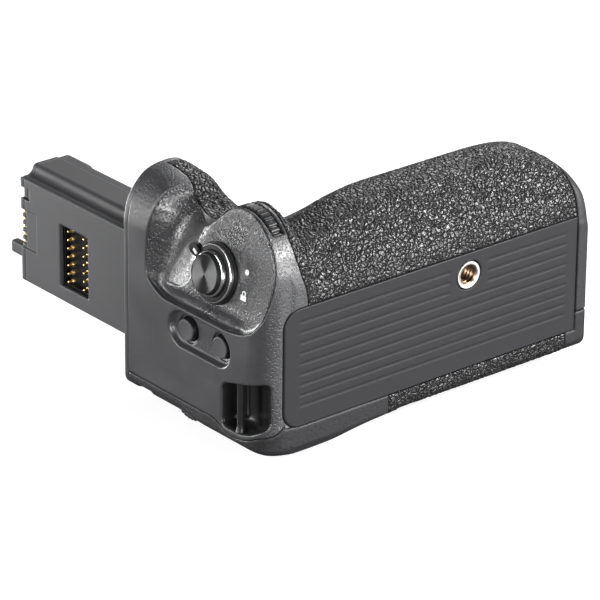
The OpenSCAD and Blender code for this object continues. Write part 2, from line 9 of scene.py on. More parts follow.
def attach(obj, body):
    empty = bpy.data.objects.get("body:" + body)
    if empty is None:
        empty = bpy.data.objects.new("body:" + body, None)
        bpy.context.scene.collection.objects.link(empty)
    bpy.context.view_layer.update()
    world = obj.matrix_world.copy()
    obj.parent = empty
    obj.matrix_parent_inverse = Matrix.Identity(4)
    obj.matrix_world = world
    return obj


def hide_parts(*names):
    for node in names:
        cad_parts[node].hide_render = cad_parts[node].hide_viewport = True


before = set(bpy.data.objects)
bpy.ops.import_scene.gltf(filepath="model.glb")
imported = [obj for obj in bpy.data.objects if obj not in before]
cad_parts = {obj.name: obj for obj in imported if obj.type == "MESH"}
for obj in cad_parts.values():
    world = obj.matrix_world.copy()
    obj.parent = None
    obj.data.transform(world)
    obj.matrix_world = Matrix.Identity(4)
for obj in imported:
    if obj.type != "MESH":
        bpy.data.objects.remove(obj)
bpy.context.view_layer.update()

T0 = time.time()
MM = 0.001
TILT = math.radians(12)
CT, ST, TT = math.cos(TILT), math.sin(TILT), math.tan(TILT)


# ------------------------------------------------------------------ outlines (mm)
def spline(p, n):
    p = np.array(p, float)
    out = []
    for i in range(len(p) - 1):
        a, b, c, d = p[max(i - 1, 0)], p[i], p[i + 1], p[min(i + 2, len(p) - 1)]
        for k in range(n):
            t = k / n
            out.append(0.5 * (2 * b + (c - a) * t + (2 * a - 5 * b + 4 * c - d) * t * t + (3 * b - a - 3 * c + d) * t ** 3))
    out.append(p[-1])
    return [tuple(q) for q in out]


def arc(cx, cy, r, a0, a1, n):
    return [(cx + r * math.cos(math.radians(a0 + (a1 - a0) * i / n)), cy + r * math.sin(math.radians(a0 + (a1 - a0) * i / n))) for i in range(n + 1)]


X_END, X_DOOR, BODY_H, Z_REAR = -80.0, 50.6, 67.6, -38.0
RIDGE = [(80, 4.3), (66, 4.6), (63, 6.2), (60, 8.0), (57, 10.0), (48, 12), (40, 16.3), (34, 21.5), (29, 26.2), (25, 28.9), (21, 30.1), (16.5, 28.8), (11.5, 24.8), (6.5, 19.6), (2.2, 14), (0.3, 9)]
MAIN_YZ = [(-10, -70), (80, -70)] + spline(RIDGE, 6) + [(-0.6, 6.2), (-10, -2)]
POD_TOP = [(42, 21.5), (38, 23), (33.5, 25.2), (29.5, 28.6), (25, 32.4), (19.5, 34.2), (13, 32.9), (7.5, 29.3), (3, 24), (0.7, 18.5), (0, 12)]
POD_YZ = [(0, -70), (42, -70)] + spline(POD_TOP, 6)
LOBE_TOP = [(80, 33.0), (66.5, 33.4), (61, 33.0), (56, 31.9), (53.4, 30.8), (51.2, 29.0), (48.5, 26), (44.5, 23.8), (40, 22.4), (35, 21.6), (29, 21)]
LOBE_YZ = [(28, -70), (80, -70)] + spline(LOBE_TOP, 6) + [(28, 20)]
LOBE_XZ = [(X_END - 8, -70), (-47, -70)] + spline([(-47, 2), (-47.6, 6), (-49, 11.5), (-51.2, 17), (-53.7, 21.8), (-55.4, 26), (-57, 29.8), (-59.2, 32.4), (-62.8, 33.6)], 5) + arc(-62.8, 16.4, 17.2, 96, 168, 12) + [(X_END - 1.6, 14), (X_END - 5, 8), (X_END - 9, 3)]
MAIN_XZ = [(-90, -70), (X_DOOR, -70)] + spline([(X_DOOR, 8), (X_DOOR - 0.6, 14), (X_DOOR - 3.6, 20), (X_DOOR - 10, 24.8), (X_DOOR - 19, 28.4), (X_DOOR - 30, 30.4)], 6) + [(-28, 30.4)] + spline([(-36, 29.6), (-44, 27.6), (-52, 25.4), (-60, 23.8), (-70, 23)], 5) + [(-90, 23)]
PLAN_XY = arc(X_END + 8, 8, 8, 180, 270, 14) + arc(X_DOOR - 1.6, 1.6, 1.6, 270, 360, 8) + [(X_DOOR, 90), (X_END, 90)]
THUMB_YZ = arc(5.5, -36.7, 5.5, 180, 270, 8) + [(24, -42.2)] + spline([(24, -42.2), (28, -41.6), (32, -39.6), (35, -37.6), (38, -36)], 4)[1:] + [(38, -30), (0, -30)]
THUMB_XZ = spline([(X_END + 0.4, -33), (X_END + 0.8, -36), (X_END + 2.2, -37.5), (X_END + 5, -38.9), (X_END + 8.5, -40.5), (X_END + 12, -41.9), (X_END + 15, -42.2)], 5) + spline([(-60, -42.2), (-52, -41.6), (-45, -39.6), (-38, -38.1), (-33, -37.4), (-28, -36.5)], 5) + [(-28, -30), (X_END + 0.4, -30)]
# rim of the sculpted plateau, across and up the tilted plane, and its height there
RIM_YT = spline([(2.6, -11.3), (5.6, -14.9), (8, -16.5), (11.2, -17.7), (16, -18.6), (21, -18.85), (31, -18.85), (41, -18.9), (46, -18.85), (49.4, -18.5), (53.4, -16.6), (55.7, -14.6), (56.6, -12.3), (56.65, -9), (56.5, -5.9), (56.1, -1.2), (55.5, 3.85), (55.1, 7.3), (54.6, 10.7), (54.1, 12.8), (53.6, 14.8), (53.3, 17), (53, 22)], 3) + [(52.5, 60), (-40, 60), (-40, -6), (0.8, -6.8)]
RIM_H = np.array([(-30, -2), (-20, -0.1), (-18.9, 0.07), (-16.6, 0.56), (-12.7, 1.39), (-5.9, 2.83), (-1.2, 3.84), (3.85, 4.36), (7.3, 3.85), (10.7, 2.63), (12.7, 1.45), (14.5, 0), (16, -3.5), (17, -7.5), (22, -12), (40, -20)])
STRAP_XY = [(-96, -7), (-78.6, -7)] + spline([(-78.6, -7), (-76, 1.07), (-73.2, 8), (-71.5, 13), (-71.9, 16.8), (-74.4, 19.3), (-80, 20.1), (-96, 20.6)], 5)[1:]
PLATE_XZ = [(44.8, -31), (44.8, 7.2)] + arc(-66.3, 1.2, 6, 90, 180, 10) + arc(-66.3, -25, 6, 180, 270, 10)
PART = np.array(spline([(-60, -30.6), (-12, -30.6), (-10, -30.0), (-8.2, -29.3), (-4.4, -31.7), (4.3, -33.2), (9, -34.8), (13, -35.7), (17.5, -35.6), (21.5, -33.8), (25.5, -32.9), (40, -32.9), (160, -32.9)], 8))


# ------------------------------------------------------------------ distance fields
def sd_poly(U, V, pts):
    p = np.array(pts, np.float32)
    U, V = np.broadcast_arrays(np.asarray(U, np.float32), np.asarray(V, np.float32))
    d2 = np.full(U.shape, 1e9, np.float32)
    inside = np.zeros(U.shape, bool)
    for a, b in zip(p, np.roll(p, -1, 0)):
        e = b - a
        l2 = float(e @ e)
        if l2 < 1e-10:
            continue
        t = np.clip(((U - a[0]) * e[0] + (V - a[1]) * e[1]) / l2, 0, 1)
        d2 = np.minimum(d2, (U - a[0] - t * e[0]) ** 2 + (V - a[1] - t * e[1]) ** 2)
        if e[1] != 0:
            c = (a[1] > V) != (b[1] > V)
            inside ^= c & (U < e[0] * (V - a[1]) / e[1] + a[0])
    return np.where(inside, -np.sqrt(d2), np.sqrt(d2))


def rint(a, b, r):
    """intersection with a rounded edge of radius r"""
    return np.minimum(np.maximum(a, b), -r) + np.hypot(np.maximum(a + r, 0), np.maximum(b + r, 0))


def runi(a, b, r):
    """union with a fillet of radius r"""
    return np.maximum(np.minimum(a, b), r) - np.hypot(np.maximum(r - a, 0), np.maximum(r - b, 0))


def smooth(e0, e1, x):
    t = np.clip((x - e0) / (e1 - e0), 0, 1)
    return t * t * (3 - 2 * t)


class Grid:
    def __init__(self, lo, hi, h):
        h = (h,) * 3 if np.isscalar(h) else h
        self.lo, self.h = np.array(lo, float), np.array(h, float)
        n = [int(math.ceil((b - a) / s)) + 1 for a, b, s in zip(lo, hi, h)]
        ax = [np.float32(a) + np.arange(k, dtype=np.float32) * np.float32(s) for a, k, s in zip(lo, n, h)]
        self.x, self.y, self.z = ax[0][:, None, None], ax[1][None, :, None], ax[2][None, None, :]


def soft_max(a, b, k):
    w = np.maximum(k - np.abs(a - b), 0) / k
    return np.maximum(a, b) + w * w * k * 0.25


def plateau(x, y, z):
    """height above the tilted shutter plane, less the sculpted surface there"""
    h = -(x + 76) * CT + (z - 16) * ST
    t = (x + 76) * ST + (z - 16) * CT
    # mesa round the shutter, its flank to a finger hollow that deepens upwards, its flank to a trough along the lower rim
    q1 = (y - (41.6 - 0.29 * (t - 6))) * 0.958
    deep = (3.2 + 0.22 * ((t - 2) + np.sqrt((t - 2) ** 2 + 9))) * (0.72 + 0.28 * smooth(-16, -7, t))
    left = -deep * smooth(-9.0, 5.4, q1)
    low = -2.5 * smooth(-3.0, 2.5, -14.9 - t) * smooth(5, 15, y)
    flank = -soft_max(-left, -low, 0.8)
    R = sd_poly(y, t, RIM_YT)
    w = 1.5 + 7.5 * smooth(-17.5, -8, t) * smooth(30, 50, y) * (1 - 0.56 * smooth(7, 13.5, t))
    top = np.interp(t, RIM_H[:, 0], RIM_H[:, 1]).astype(np.float32)
    floor_ = np.where(w > 4, deep, np.maximum(-flank, 0.9))
    rim = -floor_ + (top + floor_) * np.maximum((R + w) / w, 0) ** 2
    return h - soft_max(flank, rim, 0.9 + 0.24 * (w - 1.5)), h, t, R


def casing(g, cut=True):
    x, y, z = g.x, g.y, g.z
    a, b, c = sd_poly(y, z, MAIN_YZ), sd_poly(x, z, MAIN_XZ), sd_poly(x, y, PLAN_XY)
    hd = np.maximum(rint(a, b, 4.0), -66 - x)
    slope = -0.2263 * x + 0.6079 * y + 0.7611 * z - 44.495                       # finger relief beside the lobe
    hd = np.where(x < 20, rint(hd, runi(slope, z - 0.6, 3.0), 2.5), hd)
    hd = rint(hd, c, 2.0)
    pd = np.maximum(sd_poly(y, z, POD_YZ), x + 63.5)
    pd = rint(rint(pd, c, 1.0), x + 61.5, 3.0)
    lb = rint(rint(sd_poly(y, z, LOBE_YZ), sd_poly(x, z, LOBE_XZ), 3.0), c, 1.0)
    s = np.maximum(runi(hd, runi(pd, lb, 2.6), 4.5), c)
    s = rint(s, Z_REAR - z, 3.6)
    th = rint(rint(sd_poly(y, z, THUMB_YZ), sd_poly(x, z, THUMB_XZ), 3.0), c, 1.5)
    s = np.maximum(runi(s, th, 3.0), c)
    s = rint(s, y - BODY_H, 0.45).astype(np.float32)
    g.s0 = s
    k = int(np.searchsorted(g.x.ravel(), -52.0))
    if cut and k > 0:
        s = s.copy()
        s[:k] = rint(s[:k], plateau(x[:k], y, z)[0], 0.45)
    return s


def stadium(y, z, ya, yb, zc):
    return np.hypot(y - np.clip(y, min(ya, yb), max(ya, yb)), z - zc)


def seam_x(y, z):
    """left edge of the front rubber: a plane beside the shutter, curving away towards the base plate"""
    turn = np.interp(z, [6.7, 9.5, 12.9, 17, 22, 27.4], [7.5, 6.6, 5.26, 3.0, 0.95, 0.0]).astype(np.float32)
    return -68.4 + TT * (z - 16) + turn * smooth(22, 12, y)


# ------------------------------------------------------------------ meshes from fields
def surface_nets(F, g):
    s = F < 0
    n = F.shape
    cnt = np.zeros((n[0] - 1, n[1] - 1, n[2] - 1), np.uint8)
    for i in (0, 1):
        for j in (0, 1):
            for k in (0, 1):
                cnt += s[i:n[0] - 1 + i, j:n[1] - 1 + j, k:n[2] - 1 + k]
    act = (cnt > 0) & (cnt < 8)
    cells = np.argwhere(act)
    ids = np.full(act.shape, -1, np.int32)
    ids[act] = np.arange(len(cells), dtype=np.int32)
    P = np.zeros((len(cells), 3))
    W = np.zeros(len(cells))
    ci, cj, ck = cells.T
    corner = {(i, j, k): F[ci + i, cj + j, ck + k] for i in (0, 1) for j in (0, 1) for k in (0, 1)}
    for a in corner:
        for ax in range(3):
            if a[ax]:
                continue
            b = list(a); b[ax] = 1; b = tuple(b)
            fa, fb = corner[a], corner[b]
            m = (fa < 0) != (fb < 0)
            t = fa[m] / (fa[m] - fb[m])
            q = np.tile(np.array(a, float), (m.sum(), 1))
            q[:, ax] += t
            P[m] += q
            W[m] += 1
    P = P / W[:, None] + cells
    faces = []
    for ax in range(3):
        sl0 = [slice(1, n[d] - 1) for d in range(3)]; sl1 = list(sl0)
        sl0[ax] = slice(0, n[ax] - 1); sl1[ax] = slice(1, n[ax])
        s0, s1 = s[tuple(sl0)], s[tuple(sl1)]
        for up in (True, False):
            e = np.argwhere(s0 & ~s1) if up else np.argwhere(~s0 & s1)
            if not len(e):
                continue
            off = [1, 1, 1]; off[ax] = 0
            e = e + np.array(off)
            u, v = (ax + 1) % 3, (ax + 2) % 3
            q = []
            for du, dv in ((-1, -1), (0, -1), (0, 0), (-1, 0)):
                c = e.copy(); c[:, u] += du; c[:, v] += dv
                q.append(ids[c[:, 0], c[:, 1], c[:, 2]])
            q = np.stack(q, 1)
            faces.append(q if up else q[:, ::-1])
    faces = np.concatenate(faces)
    for _ in range(2):                                   # settle the points on the surface
        f, gr = sample(F, P)
        gr = gr / g.h
        l2 = np.maximum((gr ** 2).sum(1), 0.09)
        step = -(f / l2)[:, None] * gr / g.h
        P = P + np.clip(step, -0.5, 0.5) * 0.9
    return g.lo + P * g.h, faces


def sample(F, P):
    hi = np.array(F.shape) - 2
    i = np.clip(np.floor(P).astype(int), 0, hi)
    t = np.clip(P - i, 0, 1)
    c = np.zeros((2, 2, 2, len(P)))
    for a in (0, 1):
        for b in (0, 1):
            for d in (0, 1):
                c[a, b, d] = F[i[:, 0] + a, i[:, 1] + b, i[:, 2] + d]
    tx, ty, tz = t.T
    cx = c[0] * (1 - tx) + c[1] * tx
    cy = cx[0] * (1 - ty) + cx[1] * ty
    f = cy[0] * (1 - tz) + cy[1] * tz
    d0 = c[1] - c[0]; d0 = d0[0] * (1 - ty) + d0[1] * ty; gx = d0[0] * (1 - tz) + d0[1] * tz
    d1 = cx[1] - cx[0]; gy = d1[0] * (1 - tz) + d1[1] * tz
    return f, np.stack([gx, gy, cy[1] - cy[0]], 1)


def mesh_object(name, V, faces, mat, smooth=True, matrix=None):
    """V in mm; faces a list of index lists, or an array of quads"""
    me = bpy.data.meshes.new(name)
    V = np.asarray(V, float) * MM
    if isinstance(faces, np.ndarray):
        k = faces.shape[1]
        me.vertices.add(len(V)); me.vertices.foreach_set("co", V.astype(np.float32).ravel())
        me.loops.add(faces.size); me.loops.foreach_set("vertex_index", faces.astype(np.int32).ravel())
        me.polygons.add(len(faces)); me.polygons.foreach_set("loop_start", np.arange(0, faces.size, k, dtype=np.int32))
        me.update(calc_edges=True); me.validate()
    else:
        me.from_pydata(V.tolist(), [], faces); me.update()
    if smooth:
        me.polygons.foreach_set("use_smooth", np.ones(len(me.polygons), bool))
    ob = bpy.data.objects.new(name, me)
    bpy.context.scene.collection.objects.link(ob)
    ob.data.materials.append(mat)
    if matrix is not None:
        ob.matrix_world = matrix
    return ob


def field_piece(name, F, g, mat, nodes, body="housing", grain=None):
    V, faces = surface_nets(F, g)
    if grain is not None:
        V = grain(V, faces, F, g)
    ob = mesh_object(name, V, faces, mat)
    done(ob, nodes, body)
    print("piece", name, len(V), "points", round(time.time() - T0, 1), "s")
    return ob


def done(ob, nodes, body="housing"):
    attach(ob, body)
    if nodes:
        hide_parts(*([nodes] if isinstance(nodes, str) else nodes))
    return ob


# ------------------------------------------------------------------ materials
def nodes_of(name):
    m = bpy.data.materials.new(name)
    m.use_nodes = True
    nt = m.node_tree
    return m, nt, nt.nodes["Principled BSDF"]


def add(nt, kind, **values):
    n = nt.nodes.new(kind)
    for k, v in values.items():
        if hasattr(n, k) and not k[0].isupper():
            setattr(n, k, v)
        else:
            n.inputs[k.replace("_", " ")].default_value = v
    return n


def coords(nt):
    return add(nt, "ShaderNodeTexCoord").outputs["Object"]


def noise(nt, vec, scale, detail=3.0, rough=0.55, distortion=0.0):
    n = add(nt, "ShaderNodeTexNoise", Scale=scale, Detail=detail, Roughness=rough, Distortion=distortion)
    nt.links.new(vec, n.inputs["Vector"])
    return n.outputs["Fac"]


def ramp(nt, fac, stops):
    r = add(nt, "ShaderNodeValToRGB")
    e = r.color_ramp.elements
    while len(e) < len(stops):
        e.new(0.5)
    for el, (pos, col) in zip(e, stops):
        el.position = pos
        el.color = tuple(col) + (1,) if len(col) == 3 else col
    nt.links.new(fac, r.inputs["Fac"])
    return r.outputs["Color"]


def grey(v):
    return (v, v, v)


def math_node(nt, op, a, b):
    n = add(nt, "ShaderNodeMath", operation=op)
    for i, v in enumerate((a, b)):
        if isinstance(v, (int, float)):
            n.inputs[i].default_value = v
        else:
            nt.links.new(v, n.inputs[i])
    return n.outputs[0]


def stretch(nt, vec, s):
    n = add(nt, "ShaderNodeMapping")
    n.inputs["Scale"].default_value = s
    nt.links.new(vec, n.inputs["Vector"])
    return n.outputs["Vector"]


def bump(nt, bsdf, height, distance, strength=1.0):
    b = add(nt, "ShaderNodeBump", Strength=strength, Distance=distance)
    nt.links.new(height, b.inputs["Height"])
    nt.links.new(b.outputs["Normal"], bsdf.inputs["Normal"])
    return b


def tint(c, k):
    return tuple(max(0.0, min(1.0, v * k)) for v in c)


def plastic(name, base, rough, cell, depth, vary=0.12, blotch=55.0, spec=0.5, scratches=0.0, pits=0.0, pit_cell=1.25, edge=None):
    """moulded or painted plastic: fine grain, optional crinkle pits, cloudy colour and roughness"""
    m, nt, b = nodes_of(name)
    v = coords(nt)
    big = noise(nt, v, blotch, 4)
    fine = noise(nt, v, 1000.0 / cell, 2.5, 0.6)
    mixed = math_node(nt, "ADD", math_node(nt, "MULTIPLY", big, 0.5), math_node(nt, "MULTIPLY", fine, 0.5))
    h = fine
    if pits:
        pn = noise(nt, v, 1000.0 / pit_cell, 1.5, 0.55)
        hole = ramp(nt, pn, [(0.37, grey(0.0)), (0.5, grey(1.0))])
        if edge is not None:                                   # the flat end face is finer than the rest
            sep = add(nt, "ShaderNodeSeparateXYZ")
            nt.links.new(v, sep.inputs[0])
            mr = add(nt, "ShaderNodeMapRange")
            nt.links.new(sep.outputs["X"], mr.inputs["Value"])
            mr.inputs["From Min"].default_value = edge * MM
            mr.inputs["From Max"].default_value = (edge + 5.0) * MM
            mr.inputs["To Min"].default_value = 0.12
            hole = math_node(nt, "MULTIPLY", hole, mr.outputs[0])
        h = math_node(nt, "ADD", math_node(nt, "MULTIPLY", fine, 0.5), math_node(nt, "MULTIPLY", hole, pits))
        # the pits are also painted darker in colour: painted shade in the crinkle pits
        mixed = math_node(nt, "ADD", math_node(nt, "MULTIPLY", mixed, 0.7), math_node(nt, "MULTIPLY", hole, 0.2))
    if scratches:
        sc = noise(nt, stretch(nt, v, (90, 900, 1400)), 1.0, 2, 0.5)
        h = math_node(nt, "ADD", h, math_node(nt, "MULTIPLY", sc, scratches))
    nt.links.new(ramp(nt, mixed, [(0.3, tint(base, 1 - vary)), (0.7, tint(base, 1 + vary))]), b.inputs["Base Color"])
    nt.links.new(ramp(nt, big, [(0.3, grey(rough - 0.05)), (0.7, grey(rough + 0.06))]), b.inputs["Roughness"])
    bump(nt, b, h, depth * MM, 1.0)
    b.inputs["Specular IOR Level"].default_value = spec
    return m


def metal(name, base, rough, streak=(40, 40, 900), depth=0.01, vary=0.08):
    m, nt, b = nodes_of(name)
    v = coords(nt)
    s = noise(nt, stretch(nt, v, streak), 1.0, 4, 0.6)
    big = noise(nt, v, 120, 3)
    nt.links.new(ramp(nt, big, [(0.3, tint(base, 1 - vary)), (0.7, tint(base, 1 + vary))]), b.inputs["Base Color"])
    nt.links.new(ramp(nt, s, [(0.25, grey(max(0.03, rough - 0.06))), (0.75, grey(rough + 0.08))]), b.inputs["Roughness"])
    b.inputs["Metallic"].default_value = 1.0
    bump(nt, b, s, depth * MM, 0.6)
    return m


def leather(name, base, rough, cell, depth):
    """pressed grip rubber: worm-shaped pads parted by fine channels that are painted dark, as painted shade in the
    creases, on top of the modelled pebbles
    """
    m, nt, b = nodes_of(name)
    v = coords(nt)
    drift = add(nt, "ShaderNodeTexNoise", Scale=620.0 / cell, Detail=1.0, Roughness=0.5)
    nt.links.new(v, drift.inputs["Vector"])
    bend = add(nt, "ShaderNodeVectorMath", operation="MULTIPLY_ADD")
    nt.links.new(drift.outputs["Color"], bend.inputs[0])
    bend.inputs[1].default_value = (1.5 * cell * MM,) * 3
    nt.links.new(v, bend.inputs[2])
    cells = add(nt, "ShaderNodeTexVoronoi", feature="DISTANCE_TO_EDGE", Scale=1000.0 / cell)
    nt.links.new(bend.outputs[0], cells.inputs["Vector"])
    pad = ramp(nt, cells.outputs["Distance"], [(0.01, grey(0.0)), (0.12, grey(0.6)), (0.34, grey(1.0))])
    micro = noise(nt, v, 5200, 2)
    cloud = noise(nt, v, 70, 3)
    # the pads and channels are real grain; the channels are painted near-black and given low specular as painted shade,
    # and the cloud term is real tone variation
    channel_shade_tone = math_node(nt, "MULTIPLY", pad, math_node(nt, "ADD", math_node(nt, "MULTIPLY", cloud, 0.3), 0.85))
    nt.links.new(ramp(nt, channel_shade_tone, [(0.1, grey(0.18 * base)), (0.85, grey(base))]), b.inputs["Base Color"])
    nt.links.new(ramp(nt, pad, [(0.0, grey(0.8)), (0.6, grey(rough)), (1.0, grey(rough - 0.04))]), b.inputs["Roughness"])
    nt.links.new(ramp(nt, pad, [(0.0, grey(0.1)), (0.5, grey(0.7))]), b.inputs["Specular IOR Level"])
    bump(nt, b, math_node(nt, "ADD", pad, math_node(nt, "MULTIPLY", micro, 0.08)), depth * MM, 1.0)
    return m


M_COVER = plastic("crinkle_plastic", (0.045, 0.045, 0.048), 0.35, 0.36, 0.075, 0.2, spec=0.85, pits=0.9, pit_cell=0.7, edge=-79.9)
M_PLATEAU = plastic("crinkle_plateau", (0.030, 0.030, 0.032), 0.29, 0.38, 0.085, 0.3, spec=0.95, pits=1.0, pit_cell=0.72)
M_REAR = plastic("rear_plastic", (0.020, 0.020, 0.0215), 0.46, 0.5, 0.08, 0.16, spec=0.35, pits=0.5)
M_DOOR = plastic("door_plastic", (0.028, 0.028, 0.030), 0.46, 0.45, 0.06, 0.16, spec=0.4, pits=0.6)
M_PLATE = plastic("plate_plastic", (0.0205, 0.0202, 0.0225), 0.46, 0.5, 0.035, 0.14, 40, spec=0.3, scratches=0.5)
M_STEM = plastic("stem_plastic", (0.056, 0.056, 0.059), 0.5, 0.3, 0.015, 0.07, 30)
M_BLACK = plastic("black_plastic", (0.008, 0.008, 0.0085), 0.42, 0.3, 0.02, 0.2, spec=0.2)
# near-black plastic for the strap recess liner and bar: painted shade inside the pocket
M_SHADED_WELL = plastic("well_plastic_painted_shade", (0.012, 0.012, 0.0125), 0.34, 0.4, 0.03, 0.2)
M_CTRL = plastic("control_plastic", (0.020, 0.020, 0.021), 0.38, 0.28, 0.02, 0.15, spec=0.35)
M_BUTTON = plastic("button_plastic", (0.054, 0.054, 0.057), 0.44, 0.35, 0.03, 0.12)
M_RUBBER = leather("grip_rubber", 0.018, 0.32, 1.4, 0.26)
M_PACK = plastic("pack_casing", (0.028, 0.028, 0.03), 0.5, 0.5, 0.04, 0.15)
M_SILICONE = plastic("silicone", (0.25, 0.24, 0.22), 0.6, 0.4, 0.02, 0.08)
M_CHROME = metal("bright_ring", (0.80, 0.80, 0.81), 0.14, (60, 60, 60), 0.003)
M_STEEL = metal("turned_steel", (0.74, 0.73, 0.71), 0.3, (60, 800, 60), 0.004)
M_BUSH_THREAD_SHADE = metal("bush_metal_thread_shade", (0.74, 0.73, 0.71), 0.3, (60, 800, 60), 0.004)
_nt = M_BUSH_THREAD_SHADE.node_tree                                     # bright face; the thread painted dark brown as painted shade and a painted brown reflection inside the hole
_r = add(_nt, "ShaderNodeVectorMath", operation="LENGTH")
_nt.links.new(stretch(_nt, coords(_nt), (100, 0, 100)), _r.inputs[0])
_nt.links.new(ramp(_nt, _r.outputs["Value"], [(0.30, (0.30, 0.18, 0.11)), (0.34, (0.78, 0.77, 0.75))]), _nt.nodes["Principled BSDF"].inputs["Base Color"])
M_ALLOY = metal("pressed_sheet", (0.50, 0.50, 0.50), 0.38, (30, 30, 700), 0.008)
M_GOLD = metal("gold_contact", (0.90, 0.66, 0.30), 0.3, (300, 300, 300), 0.003)


def mark_paint():
    m, nt, b = nodes_of("mark_paint")
    v = coords(nt)
    nt.links.new(ramp(nt, noise(nt, v, 900, 3), [(0.3, grey(0.78)), (0.6, grey(0.9))]), b.inputs["Base Color"])
    b.inputs["Roughness"].default_value = 0.5
    bump(nt, b, noise(nt, v, 4000, 2), 0.01 * MM)
    return m


def board():
    m, nt, b = nodes_of("circuit_board")
    v = coords(nt)
    tr = noise(nt, stretch(nt, v, (260, 900, 900)), 1.0, 0.0)
    nt.links.new(ramp(nt, tr, [(0.47, (0.012, 0.07, 0.03)), (0.52, (0.03, 0.14, 0.06)), (0.56, (0.012, 0.07, 0.03))]), b.inputs["Base Color"])
    b.inputs["Roughness"].default_value = 0.35
    bump(nt, b, tr, 0.03 * MM)
    return m


def spun():
    """turned face of the shutter button: rings that stretch the highlights into wedges"""
    m, nt, b = nodes_of("spun_metal")
    v = coords(nt)
    sep = add(nt, "ShaderNodeSeparateXYZ")
    nt.links.new(v, sep.inputs[0])
    r = math_node(nt, "SQRT", math_node(nt, "ADD", math_node(nt, "POWER", sep.outputs["X"], 2.0), math_node(nt, "POWER", sep.outputs["Y"], 2.0)), 0.0)
    comb = add(nt, "ShaderNodeCombineXYZ")
    nt.links.new(r, comb.inputs["X"])
    rings = noise(nt, comb.outputs[0], 9000, 2, 0.6)
    nt.links.new(ramp(nt, rings, [(0.3, grey(0.065)), (0.7, grey(0.105))]), b.inputs["Base Color"])
    b.inputs["Metallic"].default_value = 1.0
    b.inputs["Roughness"].default_value = 0.34
    b.inputs["Anisotropic"].default_value = 0.92
    b.inputs["Anisotropic Rotation"].default_value = 0.25
    t = add(nt, "ShaderNodeTangent", direction_type="RADIAL", axis="Z")
    nt.links.new(t.outputs[0], b.inputs["Tangent"])
    bump(nt, b, rings, 0.004 * MM)
    return m


M_MARK, M_BOARD, M_SPUN = mark_paint(), board(), spun()


# ------------------------------------------------------------------ mesh helpers (mm)
def finish_bm(name, bm, mat, nodes, body="housing", angle=35, matrix=None, bevel=0.0, segs=2):
    if bevel:
        es = [e for e in bm.edges if len(e.link_faces) == 2 and e.calc_face_angle(0) > math.radians(25)]
        bmesh.ops.bevel(bm, geom=es, offset=bevel, segments=segs, affect="EDGES", profile=0.5, clamp_overlap=True)
    bmesh.ops.recalc_face_normals(bm, faces=bm.faces)
    for v in bm.verts:
        v.co *= MM
    me = bpy.data.meshes.new(name)
    bm.to_mesh(me)
    bm.free()
    me.polygons.foreach_set("use_smooth", np.ones(len(me.polygons), bool))
    me.set_sharp_from_angle(angle=math.radians(angle))
    ob = bpy.data.objects.new(name, me)
    bpy.context.scene.collection.objects.link(ob)
    me.materials.append(mat)
    if matrix is not None:
        ob.matrix_world = matrix
    return done(ob, nodes, body)


def box(bm, a, b, bevel=0.0, segs=2):
    """adds a box with bevelled edges"""
    r = bmesh.ops.create_cube(bm, size=1.0)
    c = [(p + q) / 2 for p, q in zip(a, b)]
    s = [q - p for p, q in zip(a, b)]
    for v in r["verts"]:
        v.co = Vector([c[i] + v.co[i] * s[i] for i in range(3)])
    if bevel:
        es = {e for v in r["verts"] for e in v.link_edges}
        bmesh.ops.bevel(bm, geom=list(es), offset=bevel, segments=segs, affect="EDGES", profile=0.5, clamp_overlap=True)
    return bm


def prism(bm, pts, axis, lo, hi):
    """closed prism over an outline; pts are in the two other axes, in order"""
    def at(p, h):
        return {"x": (h, p[0], p[1]), "y": (p[0], h, p[1]), "z": (p[0], p[1], h)}[axis]
    a = [bm.verts.new(at(p, lo)) for p in pts]
    b = [bm.verts.new(at(p, hi)) for p in pts]
    bm.faces.new(a); bm.faces.new(b[::-1])
    n = len(pts)
    for i in range(n):
        bm.faces.new((a[i], b[i], b[(i + 1) % n], a[(i + 1) % n]))
    return bm


def along(axis, at):
    """matrix that puts local Z along a row axis, at a point in mm"""
    d = {"x": (0, 1, 0, 90), "-x": (0, 1, 0, -90), "y": (1, 0, 0, -90), "-y": (1, 0, 0, 90), "z": (0, 0, 1, 0), "-z": (1, 0, 0, 180)}[axis]
    return Matrix.Translation(at) @ Matrix.Rotation(math.radians(d[3]), 4, Vector(d[:3]))


SH = Vector((-76 + TT * (12.6 - 16), 26.3, 12.6))
# local X up along the plateau, local Y along +Y, local Z out of the plateau
SHM_M = Matrix.Translation(SH * MM) @ Matrix.Rotation(TILT - math.pi / 2, 4, "Y")


def worms(V, size, seed):
    """pebbled leather grain in 0..1 at points V (mm)"""
    rng = np.random.RandomState(seed)
    tab = rng.rand(4096, 3)
    w = V + 0.22 * size * np.stack([np.sin(V[:, 1] * 2.1 / size + 1.7 * np.sin(V[:, 2] * 1.3 / size)), np.sin(V[:, 2] * 1.9 / size + 1.3 * np.sin(V[:, 0] * 1.1 / size)), np.sin(V[:, 0] * 2.3 / size + 1.5 * np.sin(V[:, 1] * 1.2 / size))], 1)
    p = w / size
    c = np.floor(p).astype(np.int64)
    d1 = np.full(len(V), 9.0); d2 = np.full(len(V), 9.0)
    for i in (-1, 0, 1):
        for j in (-1, 0, 1):
            for k in (-1, 0, 1):
                q = c + (i, j, k)
                h = (q[:, 0] * 73856093 ^ q[:, 1] * 19349663 ^ q[:, 2] * 83492791) & 4095
                d = np.sqrt((((q + tab[h]) - p) ** 2).sum(1))
                m = d < d1
                d2 = np.where(m, d1, np.minimum(d2, d))
                d1 = np.where(m, d, d1)
    return smooth(0.02, 0.36, d2 - d1) * (1.0 - 0.35 * np.clip(d1, 0, 1))


